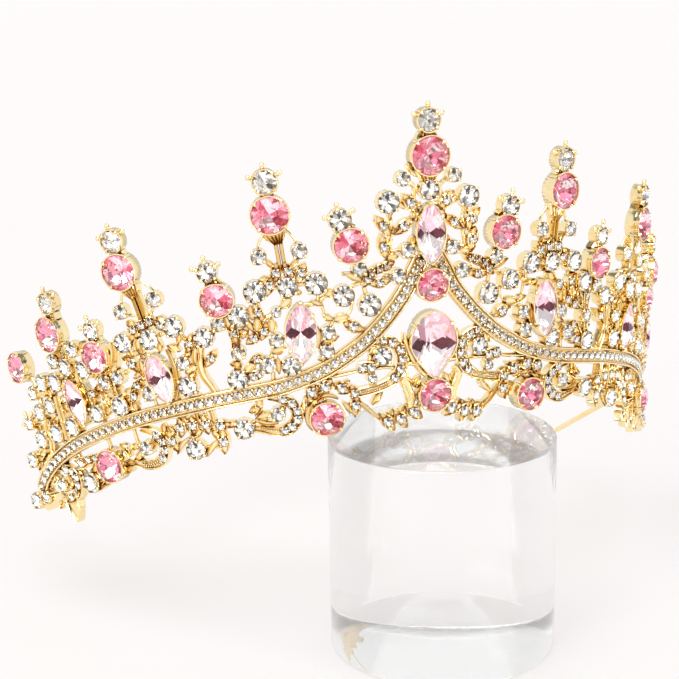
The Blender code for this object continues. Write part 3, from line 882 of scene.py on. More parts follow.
MIDDLE_STONES = (
    # node, up, width, height, form, rim
    ("clear_tip", 67.0, 4.6, 4.6, "clear", 2.0),
    ("pink_middle", 59.5, 8.0, 8.0, "pink", 2.6),
    ("marquise_middle", 42.6, 6.4, 12.8, "marquise", 2.0),
    ("pink_apex", 31.5, 6.6, 6.6, "pink", 2.4),
    ("pear_middle", 18.2, 10.3, 14.6, "pear", 2.4),
    ("pink_base", 7.0, 6.8, 6.8, "pink", 2.6),
)
SIDE_STONES = (
    # node, along, up, width, height, form, rim, turn in degrees
    ("pink_1", 14.9, 42.0, 7.0, 7.0, "pink", 2.6, 0),
    ("pink_2", 28.1, 50.9, 7.6, 7.6, "pink", 2.6, 0),
    ("pink_3", 40.1, 34.8, 6.7, 6.7, "pink", 2.6, 0),
    ("pink_4", 56.0, 45.5, 7.5, 7.5, "pink", 2.6, 0),
    ("pink_5", 67.5, 29.2, 6.6, 6.6, "pink", 2.6, 0),
    ("pink_6", 78.5, 37.5, 7.6, 7.6, "pink", 2.6, 0),
    ("pink_7", 96.0, 33.6, 6.7, 6.7, "pink", 2.3, 0),
    ("pink_8", 23.4, 5.0, 6.8, 6.8, "pink", 2.6, 0),
    ("pink_9", 74.2, 4.9, 7.0, 7.0, "pink", 2.6, 0),
    ("clear_2", 28.0, 57.9, 4.8, 4.8, "clear", 2.0, 0),
    ("clear_4", 55.7, 52.3, 4.6, 4.6, "clear", 2.0, 0),
    ("clear_6", 75.9, 44.2, 4.4, 4.4, "clear", 2.0, 0),
    ("marquise_2", 26.0, 24.5, 6.4, 13.0, "marquise", 2.0, -7),
    ("marquise_4", 55.0, 20.7, 5.6, 11.0, "marquise", 2.0, 5),
    ("marquise_6", 77.7, 21.1, 5.4, 10.6, "marquise", 2.0, 3),
)
STONE_OVERLAP = 1.03
STONE_SINKS = 0.25
CUP_SIDES = 60
CUP_SPUN = 10.0
ROUND_WALL = 0.55
LONG_WALL = 0.42
CLAW_LINE = (
    # beyond the stone's edge, out from the rim, radius
    (0.3, -2.4, 0.3),
    (0.35, -0.9, 0.34),
    (0.25, 0.0, 0.38),
    (-0.05, 0.26, 0.34),
    (-0.4, 0.22, 0.2),
)
MARQUISE_POINT = 0.35
PEAR_TAPER = 0.6
PEAR_BEND = 1.2


def marquise_outline(angle):
    across, high = sin(angle), cos(angle)
    return 0.5 * across * abs(across) ** MARQUISE_POINT, 0.5 * high


def pear_outline(angle):
    across, high = sin(angle), cos(angle)
    if high < 0:
        across *= 1 - PEAR_TAPER * (-high) ** PEAR_BEND
    return 0.5 * across, 0.5 * high


pink_glass = stone_glass("rose pink glass", (1.0, 0.86, 0.88))
# The near-white light tones of these foils are painted highlights, their dark tones painted shade, the tones
# between them the stones' pink, and their glow a painted glow.
pink_foil = facet_foil(
    "foil behind rose glass",
    (1.0, 0.88, 0.92),
    (0.42, 0.003, 0.03),
    0.85,
    metal=0.85,
    between=(1.0, 0.40, 0.52),
    glow=0.12,
)
pale_glass = stone_glass("pale pink glass", (1.0, 0.965, 0.975))
pale_foil = facet_foil(
    "foil behind pale pink glass",
    (1.0, 0.98, 0.985),
    (0.13, 0.02, 0.035),
    0.5,
    rough=0.1,
    metal=0.75,
    between=(1.0, 0.52, 0.63),
    glow=0.27,
)

CUTS = {
    # outline, corners, table, crown, depth, girdle, painted dark bow
    "pink": (round_outline, 8, 0.52, 0.17, 0.40, 0.03, 0.0),
    "clear": (round_outline, 8, 0.52, 0.17, 0.40, 0.03, 0.0),
    "marquise": (marquise_outline, 8, 0.50, 0.20, 0.42, 0.03, 0.045),
    "pear": (pear_outline, 8, 0.48, 0.17, 0.42, 0.02, 0.055),
}
LOOKS = {
    # the glass in front, the foil behind, the slot
    "pink": (pink_glass, pink_foil, "pink_glass"),
    "clear": (clear_glass, clear_foil, "clear_stone_glass"),
    "marquise": (pale_glass, pale_foil, "pale_pink_glass"),
    "pear": (pale_glass, pale_foil, "pale_pink_glass"),
}
CLAWS = {
    # where each claw stands, in degrees clockwise from the top
    "pink": (45, 135, 225, 315),
    "clear": (45, 135, 225, 315),
    "marquise": (0, 55, 125, 180, 235, 305),
    "pear": (52, 118, 180, 242, 308),
}


def cup_section(rim, wall):
    """The section of a main stone's cup, from the stone's edge out: the first is beyond the edge."""
    return (
        # beyond, out
        (0.02, WALL_BACK),
        (wall - 0.25, WALL_BACK),
        (wall - 0.05, WALL_BACK + 0.25),
        (wall - 0.2, rim * 0.25),
        (wall - 0.02, rim * 0.4),
        (wall - 0.15, rim * 0.55),
        (wall, rim - 0.35),
        (wall - 0.1, rim + 0.02),
        (wall - 0.35, rim + 0.05),
        (0.0, rim - 0.3),
    )


def stone_edge(outline, angle, width, height, beyond):
    """A place that far beyond the edge of a stone, at this angle clockwise from its top."""
    x, y = outline(angle)
    edge = Vector((x * width, y * height))
    return edge * (1 + beyond / edge.length)


side_cups = bmesh.new()
middle_cups = bmesh.new()
claw_rows = []
stone_rows = [(name, 0.0, *row, 0) for name, *row in MIDDLE_STONES] + list(SIDE_STONES)
for name, along, up, width, height, form, rim, turn in stone_rows:
    outline = CUTS[form][0]
    cut = cut_stone(*CUTS[form])
    *looks, slot = LOOKS[form]
    if along:
        nodes_replaced = ((1, name + "_right"), (-1, name + "_left"))
    else:
        nodes_replaced = ((1, name),)
    for half, node in nodes_replaced:
        shape = bmesh.new()
        size = (width * STONE_OVERLAP, height * STONE_OVERLAP, width)
        placed(shape, cut, half * along, up, rim - STONE_SINKS, half * turn, size)
        stone = bent_piece("cut_" + node, shape, looks, slot, FACET_CREASE, both_halves=False)
        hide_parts(node)
    # the cup is spun round and then drawn out to the stone's outline
    wall = ROUND_WALL if width == height else LONG_WALL
    section = [(CUP_SPUN + beyond, out) for beyond, out in cup_section(rim, wall)]
    cup = spun(section, CUP_SIDES, fluted=True)
    for vert in cup.verts:
        beyond = hypot(vert.co.x, vert.co.y) - CUP_SPUN
        vert.co.xy = stone_edge(outline, atan2(vert.co.x, vert.co.y), width, height, beyond)
    placed(side_cups if along else middle_cups, as_part("cup", cup), along, up, 0, turn)
    for claw in CLAWS[form]:
        places = []
        for beyond, out, radius in CLAW_LINE:
            spot = stone_edge(outline, radians(claw), width, height, beyond)
            spot.rotate(Matrix.Rotation(-radians(turn), 2))
            places.append((along + spot.x / stretch(along, up), up + spot.y, rim + out, radius))
        claw_rows += [(half, places) for half, node in nodes_replaced]
bent_piece("side_cups", side_cups, [gold], "gold_plate", RING_CREASE)
bent_piece("middle_cups", middle_cups, [gold], "gold_plate", RING_CREASE, both_halves=False)
tubes("claws", claw_rows, sides=1, steps=3)


# Each tip stone has three gold prongs outside its setting, each cast as a short row of balls.
# Under a spire's tip stone and under its pink one a fluted collar widens from the stem to the cup.

TIPS = (
    # along, up, the stone's width, how far its prongs are turned
    (16.2, 47.6, 4.4, 8),
    (28.0, 57.9, 4.8, 0),
    (40.8, 41.1, 4.0, 0),
    (55.7, 52.3, 4.6, 0),
    (66.8, 35.0, 3.8, 0),
    (75.9, 44.2, 4.4, -4),
    (98.6, 20.4, 3.0, 20),
)
MIDDLE_TIPS = ((0.0, 67.0, 4.6, 0),)
PRONG_TURNS = (-66, 0, 66)
PRONG_BALLS = (
    # beyond the stone's edge, size
    (0.1, 1.15),
    (0.65, 0.95),
    (1.2, 1.24),
)
PRONG_LEVEL = 1.2

side_balls = bmesh.new()
middle_balls = bmesh.new()
for tips, balls in ((TIPS, side_balls), (MIDDLE_TIPS, middle_balls)):
    for along, up, width, turned in tips:
        for prong in PRONG_TURNS:
            angle = radians(prong + turned)
            for beyond, size in PRONG_BALLS:
                reach = width / 2 + beyond
                across = reach * sin(angle) / stretch(along, up)
                placed(balls, bead, along + across, up + reach * cos(angle), PRONG_LEVEL, size=(size,) * 3)
bent_piece("tip_prongs", side_balls, [gold], "gold_plate", BEAD_CREASE)
bent_piece("middle_tip_prongs", middle_balls, [gold], "gold_plate", BEAD_CREASE, both_halves=False)

COLLAR_PITCH = 0.6
COLLAR_CREASE = 30
FLUTED = (
    # across as a share of the width, out in millimetres: ribs with grooves between them
    (-0.5, PLATE_BACK),
    (0.5, PLATE_BACK),
    (0.5, 0.7),
    (0.42, 1.1),
    (0.34, 0.65),
    (0.25, 1.2),
    (0.17, 0.7),
    (0.08, 1.3),
    (0.0, 0.75),
    (-0.08, 1.3),
    (-0.17, 0.7),
    (-0.25, 1.2),
    (-0.34, 0.65),
    (-0.42, 1.1),
    (-0.5, 0.7),
)
COLLARS = (
    # places of along, up and width
    ((28.05, 54.0, 5.0), (28.0, 55.2, 3.2), (28.0, 56.2, 3.6)),
    ((27.5, 44.3, 1.8), (27.6, 45.4, 3.6), (27.8, 46.6, 5.0), (27.9, 47.8, 5.4)),
    ((15.0, 44.9, 4.4), (15.6, 45.9, 3.2)),
    ((14.5, 38.9, 2.8), (14.7, 39.6, 4.2)),
    ((40.2, 37.6, 4.4), (40.6, 39.2, 3.0), (40.7, 39.8, 3.2)),
    ((39.7, 30.6, 1.6), (39.9, 32.2, 3.4)),
    ((55.9, 48.8, 4.8), (55.8, 50.2, 3.0), (55.7, 50.8, 3.2)),
    ((55.0, 39.2, 2.2), (55.3, 40.4, 3.8), (55.8, 42.2, 5.2)),
    ((67.2, 32.0, 3.8), (67.0, 33.4, 2.8)),
    ((67.0, 24.6, 2.2), (67.3, 26.4, 3.8)),
    ((76.9, 40.8, 4.0), (76.4, 42.2, 3.0)),
    ((77.6, 32.0, 3.2), (78.0, 34.0, 5.0)),
)
MIDDLE_COLLARS = (
    ((0.0, 62.6, 5.8), (0.0, 63.8, 4.6), (0.0, 65.0, 3.0)),
    ((0.0, 53.9, 3.0), (0.0, 55.4, 5.0), (0.0, 56.6, 7.0)),
)
side_collars = bmesh.new()
middle_collars = bmesh.new()
for collars, shape in ((COLLARS, side_collars), (MIDDLE_COLLARS, middle_collars)):
    for line in collars:
        plate(shape, line, FLUTED, COLLAR_PITCH)
bent_piece("collars", side_collars, [gold], "gold_plate", COLLAR_CREASE)
bent_piece("middle_collars", middle_collars, [gold], "gold_plate", COLLAR_CREASE, both_halves=False)


# Scrolls, crescents and broad stems are flat castings with a raised rim along both edges, and a
# few plain ones are smooth and domed. Rows of fine beads fill the tails of the scroll and of the
# crescents, and leaves without a stone grow between.

RIBBONS = (
    # places of along, up and width
    # the scroll beside the pear, and the short struts and leaves about it
    (
        (12.9, 20.0, 1.2), (10.6, 20.2, 2.0), (8.7, 19.8, 2.4), (7.1, 18.4, 2.7), (6.5, 16.4, 2.8),
        (6.6, 14.4, 2.8), (7.5, 12.4, 2.6), (9.2, 10.8, 2.3), (11.5, 10.0, 2.1), (14.0, 9.5, 2.2),
        (16.2, 9.3, 2.2),
    ),
    ((11.2, 8.9, 0.6), (12.4, 7.4, 1.5), (13.6, 6.3, 0.7)),
    ((11.6, 2.6, 1.0), (13.4, 4.2, 1.1), (14.6, 5.7, 1.1), (16.0, 7.2, 0.8)),
    ((12.2, 14.4, 2.6), (14.0, 14.7, 3.0), (15.6, 14.9, 2.4)),
    # over the lower pink stone
    (
        (20.4, 8.8, 0.5), (22.0, 9.7, 1.0), (24.0, 9.8, 1.2), (26.0, 8.6, 1.2), (27.3, 6.6, 1.1),
        (27.5, 4.4, 1.0), (26.6, 2.6, 0.6),
    ),
    ((18.2, 4.9, 0.6), (18.6, 6.4, 1.4), (19.6, 7.8, 0.7)),
    # first crescent
    (
        (34.8, 11.5, 0.9), (32.6, 11.0, 1.9), (30.9, 10.1, 2.3), (29.7, 8.6, 2.5), (29.4, 7.0, 2.6),
        (29.8, 5.4, 2.8), (31.1, 4.2, 2.9), (33.0, 3.6, 2.5), (35.0, 3.9, 2.0), (37.0, 4.7, 1.5),
        (38.7, 5.3, 0.9),
    ),
    ((33.6, 5.7, 0.6), (36.0, 5.9, 1.1), (38.4, 7.2, 0.9)),
    ((34.6, 7.8, 0.6), (36.0, 7.7, 2.0), (37.8, 7.4, 0.8)),
    ((36.6, 11.6, 1.6), (37.0, 9.8, 1.8), (38.4, 8.4, 1.2)),
    # leaves between the crescents
    ((42.4, 7.2, 1.3), (43.6, 7.2, 1.7), (44.8, 7.4, 1.3)),
    ((46.9, 11.6, 1.1), (46.8, 9.6, 0.9), (47.0, 7.6, 1.2)),
    ((50.0, 11.5, 0.9), (50.1, 9.4, 0.8), (50.4, 7.4, 1.6), (51.6, 6.4, 1.0)),
    ((46.9, 4.5, 0.5), (48.5, 3.3, 1.6), (50.6, 1.2, 0.3)),
    ((53.4, 6.2, 0.7), (55.3, 5.1, 1.2), (56.9, 3.2, 0.3)),
    # second crescent
    (
        (63.8, 10.9, 0.9), (61.8, 9.8, 1.8), (60.3, 8.5, 2.2), (59.5, 6.7, 2.3), (59.7, 4.7, 2.4),
        (60.8, 3.1, 2.5), (62.6, 2.4, 2.5), (64.6, 2.5, 2.2), (66.6, 3.2, 1.8), (68.6, 4.1, 1.2),
        (70.4, 4.2, 0.9),
    ),
    ((65.0, 6.0, 1.0), (66.6, 5.1, 1.6), (68.4, 3.9, 0.5)),
    ((77.2, 6.8, 1.2), (78.8, 7.3, 2.6), (81.4, 7.6, 2.2), (84.2, 7.5, 2.9), (86.4, 8.8, 1.2)),
    ((76.0, 1.0, 0.5), (77.6, 1.5, 1.2), (80.0, 0.8, 1.0), (81.6, 0.2, 0.4)),
    # end crescent
    (
        (93.4, 8.2, 0.8), (90.8, 7.6, 1.9), (88.8, 6.6, 2.3), (87.5, 5.0, 2.3), (87.4, 3.2, 2.4),
        (88.4, 1.5, 2.5), (90.2, 0.5, 2.3), (92.6, 0.3, 1.8), (94.6, 0.8, 1.2),
    ),
    # stems with a rim along both edges
    ((26.95, 46.0, 0.9), (27.0, 42.0, 0.9), (26.9, 38.6, 0.9)),
    ((28.0, 46.0, 0.9), (27.9, 42.0, 0.9), (27.9, 38.6, 0.9)),
    ((54.5, 41.0, 0.95), (54.3, 37.0, 0.95), (54.2, 33.4, 0.95)),
    ((55.6, 41.0, 0.95), (55.4, 37.0, 0.95), (55.3, 33.4, 0.95)),
    ((45.0, 26.2, 1.5), (46.2, 23.0, 1.6), (46.4, 19.4, 1.6), (45.4, 16.4, 1.4), (44.8, 14.6, 1.2)),
    ((39.6, 31.2, 2.2), (39.0, 28.4, 1.8), (38.7, 26.0, 1.6), (39.2, 21.0, 1.6), (39.6, 18.4, 1.4)),
    ((67.5, 26.2, 2.0), (66.9, 22.8, 1.8), (66.7, 19.4, 1.6)),
    ((52.0, 26.6, 0.8), (51.6, 22.6, 1.2), (52.2, 18.2, 1.2), (53.6, 15.2, 1.4)),
    ((22.9, 25.4, 0.9), (22.6, 23.0, 1.1), (23.4, 20.6, 0.9)),
    ((79.8, 26.4, 1.6), (80.9, 24.4, 2.2), (80.6, 20.6, 1.6), (79.2, 15.2, 1.8)),
    ((74.4, 27.8, 1.4), (75.2, 25.2, 2.0), (74.6, 21.0, 1.8), (74.9, 16.6, 1.4)),
    ((84.9, 23.8, 2.6), (85.4, 20.8, 2.2), (85.6, 16.8, 2.2), (86.0, 13.6, 1.8)),
    ((87.2, 25.4, 2.6), (89.2, 24.2, 1.6)),
    ((91.6, 19.6, 2.6), (92.4, 17.6, 2.4), (92.2, 14.6, 2.2), (93.0, 12.4, 1.8)),
    ((96.4, 13.4, 2.4), (98.8, 12.0, 2.2)),
    ((62.8, 31.0, 2.0), (63.4, 28.4, 2.2), (64.6, 26.0, 2.0), (66.2, 24.8, 1.6)),
    ((69.9, 31.6, 1.4), (70.3, 29.0, 1.8), (69.4, 26.4, 2.0), (70.9, 24.6, 1.0)),
    ((56.6, 30.4, 1.6), (57.8, 29.2, 2.0), (57.6, 26.8, 1.4)),
)
PLAIN = (
    # across as a share of the width, out in millimetres: a smooth face, a little domed
    (-0.5, PLATE_BACK),
    (0.5, PLATE_BACK),
    (0.5, 0.3),
    (0.36, 0.75),
    (0.12, 0.95),
    (-0.12, 0.95),
    (-0.36, 0.75),
    (-0.5, 0.3),
)
PLAIN_RIBBONS = (
    # places of along, up and width
    (
        (5.6, 21.2, 0.5), (5.5, 19.6, 1.1), (5.0, 17.6, 1.3), (3.9, 15.0, 1.4), (2.7, 12.8, 1.3),
        (1.4, 11.2, 1.0),
    ),
    ((5.4, 12.4, 1.2), (6.1, 10.6, 2.0), (5.3, 8.4, 2.0), (4.8, 6.2, 2.2), (5.2, 4.4, 1.4)),
    ((2.5, 13.5, 0.6), (4.0, 14.1, 1.0), (5.6, 14.3, 0.8)),
    ((8.3, 13.8, 0.7), (10.2, 14.2, 0.9), (12.2, 14.1, 0.7)),
    ((15.9, 14.2, 0.7), (18.4, 13.9, 0.9), (21.8, 13.7, 0.6)),
    ((93.2, 0.4, 1.6), (96.0, 1.6, 2.4), (99.0, 1.2, 3.2), (102.2, 1.0, 3.0)),
    ((94.9, 11.4, 2.0), (97.6, 9.6, 2.4), (100.2, 8.8, 1.2)),
)
MILLGRAIN_LINES = (
    # places of along and up
    ((9.6, 10.8), (12.2, 10.0), (15.6, 9.6)),
    ((9.4, 10.2), (12.0, 9.4), (15.4, 9.0)),
    ((33.6, 3.7), (35.2, 4.1), (37.6, 4.9)),
    ((61.6, 2.9), (64.0, 2.6), (66.6, 3.3)),
    ((62.0, 2.2), (64.2, 2.1), (66.4, 2.7)),
)
MILLGRAIN_PITCH = 0.55
MILLGRAIN_LEVEL = 0.55
MILLGRAIN_SIZE = 0.5
RIBBON_PITCH = 0.8
LEAF_PITCH = 0.5
LEAF_THICKNESS = 0.9
LEAVES = (
    # along, up, length, width, turn
    (7.2, 47.4, 2.4, 0.9, 170),
    (6.4, 44.0, 2.6, 1.0, 125),
    (2.6, 46.9, 3.2, 1.4, 150),
    (2.9, 57.2, 2.4, 1.2, 40),
    (3.4, 41.2, 2.6, 1.2, 160),
    (7.3, 38.2, 3.0, 1.8, 100),
    (14.8, 34.9, 4.6, 1.4, 60),
    (19.4, 32.0, 2.4, 2.0, 90),
    (17.9, 26.3, 3.6, 2.2, 95),
    (20.4, 26.8, 2.6, 1.6, 60),
    (22.2, 30.4, 3.0, 1.2, 60),
    (20.6, 21.9, 4.4, 1.6, 110),
    (22.0, 18.2, 3.4, 1.2, 95),
    (27.9, 31.4, 3.2, 2.2, 120),
    (25.2, 39.6, 2.6, 1.2, 130),
    (29.6, 40.4, 2.6, 1.2, 40),
    (25.3, 33.3, 1.8, 1.2, 90),
    (31.0, 37.2, 2.6, 1.6, 80),
    (31.2, 27.0, 3.2, 2.2, 170),
    (33.9, 28.0, 4.0, 1.6, 165),
    (35.4, 28.0, 3.4, 1.2, 20),
    (34.6, 30.6, 3.4, 1.6, 0),
    (36.6, 26.6, 3.0, 1.8, 150),
    (37.2, 26.8, 2.6, 1.2, 90),
    (30.8, 21.5, 3.4, 1.8, 100),
    (31.4, 18.2, 4.0, 1.2, 175),
    (27.5, 19.8, 2.6, 1.3, 40),
    (36.9, 19.0, 3.6, 2.0, 120),
    (39.4, 20.0, 3.0, 1.6, 70),
    (36.4, 16.9, 3.8, 2.4, 90),
    (38.4, 25.2, 3.2, 1.8, 10),
    (42.6, 27.6, 3.0, 1.2, 150),
    (46.9, 23.6, 4.4, 1.6, 165),
    (48.2, 24.6, 3.4, 1.4, 150),
    (48.4, 21.0, 3.4, 2.0, 110),
    (49.0, 28.6, 3.8, 1.2, 160),
    (51.4, 33.4, 2.2, 1.2, 60),
    (50.6, 26.4, 3.4, 1.6, 55),
    (53.4, 27.4, 3.0, 1.4, 165),
    (48.6, 19.4, 2.8, 1.8, 150),
    (49.2, 15.0, 2.4, 1.6, 90),
    (58.6, 24.0, 4.2, 2.0, 165),
    (60.0, 22.6, 2.6, 1.2, 120),
    (58.8, 27.4, 2.6, 1.4, 110),
    (61.0, 26.6, 2.6, 1.6, 60),
    (63.6, 19.4, 3.4, 1.8, 120),
    (63.2, 16.2, 3.4, 1.6, 170),
    (66.4, 20.8, 3.0, 2.0, 90),
    (69.6, 19.6, 3.6, 2.0, 20),
    (70.6, 17.2, 3.4, 2.2, 160),
    (70.2, 22.6, 3.4, 1.4, 100),
    (73.6, 19.8, 2.8, 2.0, 110),
    (76.0, 28.0, 3.6, 2.0, 165),
    (71.0, 31.8, 3.4, 1.8, 175),
    (76.6, 33.0, 3.4, 2.0, 100),
    (79.2, 32.4, 3.0, 1.2, 90),
    (79.6, 26.2, 3.0, 2.2, 60),
    (83.4, 20.6, 3.4, 2.0, 60),
    (88.2, 19.0, 3.6, 2.0, 100),
    (90.2, 18.4, 3.0, 1.6, 60),
    (87.4, 25.0, 3.6, 2.0, 90),
    (96.0, 18.4, 3.4, 1.8, 60),
    (99.6, 10.0, 3.0, 1.4, 120),
    (3.4, 10.2, 3.0, 1.3, 150),
    (7.2, 4.0, 2.4, 1.0, 150),
    (9.6, 3.8, 2.2, 1.0, 160),
    (12.4, 18.4, 2.6, 1.4, 140),
    (18.6, 11.9, 2.4, 1.0, 120),
    (24.4, 10.2, 3.2, 1.3, 120),
    (26.5, 9.2, 2.6, 1.2, 160),
    (32.0, 8.9, 2.6, 1.2, 170),
    (38.0, 9.4, 2.6, 1.8, 100),
    (51.2, 7.0, 3.0, 2.0, 90),
    (53.0, 10.0, 2.6, 1.2, 0),
    (47.2, 5.6, 2.6, 1.4, 30),
    (56.6, 8.9, 2.6, 1.3, 30),
    (58.3, 9.4, 2.8, 1.4, 170),
    (61.7, 7.0, 2.6, 1.2, 170),
    (69.6, 7.2, 3.8, 2.2, 20),
    (70.3, 2.7, 3.2, 1.4, 110),
    (66.6, 7.4, 2.4, 1.6, 120),
    (79.0, 3.4, 4.2, 2.2, 60),
    (78.4, 1.4, 3.2, 1.4, 85),
    (80.4, 5.4, 3.4, 1.6, 100),
    (86.0, 5.0, 3.4, 1.6, 30),
    (85.9, 3.0, 2.4, 1.2, 0),
    (90.1, 4.2, 3.8, 1.6, 0),
    (95.0, 5.4, 3.2, 1.8, 10),
    (97.8, 5.3, 4.2, 2.0, 105),
    (100.4, 4.4, 3.2, 1.6, 75),
    (95.6, -0.2, 3.0, 1.6, -60),
)
FOOT_TONGUE = (
    # along, up, width of the pointed tongue under the left end
    (-92.0, 1.4, 5.8),
    (-92.0, -0.6, 5.4),
    (-92.0, -2.4, 4.0),
    (-92.0, -4.0, 2.2),
    (-92.1, -5.2, 0.5),
)
FOOT_LEAVES = (
    # along, up, length, width, turn of the leaves that hang under the right end
    (61.8, 0.2, 4.6, 2.4, 14),
    (65.2, -0.7, 5.0, 2.8, -8),
    (69.2, -0.6, 5.0, 2.8, 12),
    (73.2, -1.2, 5.4, 2.8, -6),
    (77.0, -1.0, 5.0, 2.6, 8),
)

for name, lines, section in (
    ("scrolls_and_crescents", RIBBONS, RIMMED),
    ("plain_castings", PLAIN_RIBBONS, PLAIN),
):
    ribbons = bmesh.new()
    for line in lines:
        plate(ribbons, line, section, RIBBON_PITCH)
    bent_piece(name, ribbons, [gold], "gold_plate", LEAF_CREASE)
leaves = bmesh.new()
for row in LEAVES:
    leaf(leaves, *row, LEAF_PITCH, LEAF_THICKNESS)
bent_piece("plain_leaves", leaves, [gold], "gold_plate", LEAF_CREASE)
feet = bmesh.new()
plate(feet, FOOT_TONGUE, RIMMED, RIBBON_PITCH)
for row in FOOT_LEAVES:
    leaf(feet, *row, LEAF_PITCH, LEAF_THICKNESS)
bent_piece("feet", feet, [gold], "gold_plate", LEAF_CREASE, both_halves=False)
grains = bmesh.new()
for line in MILLGRAIN_LINES:
    for place, way in smooth_line(line, MILLGRAIN_PITCH):
        placed(grains, fine_bead, place.x, place.y, MILLGRAIN_LEVEL, size=(MILLGRAIN_SIZE,) * 3)
bent_piece("millgrain", grains, [gold], "gold_plate", BEAD_CREASE)


# Round stems join the rings, the cups and the leaves to each other and to the band. They are cast
# with it in one piece, and polished.

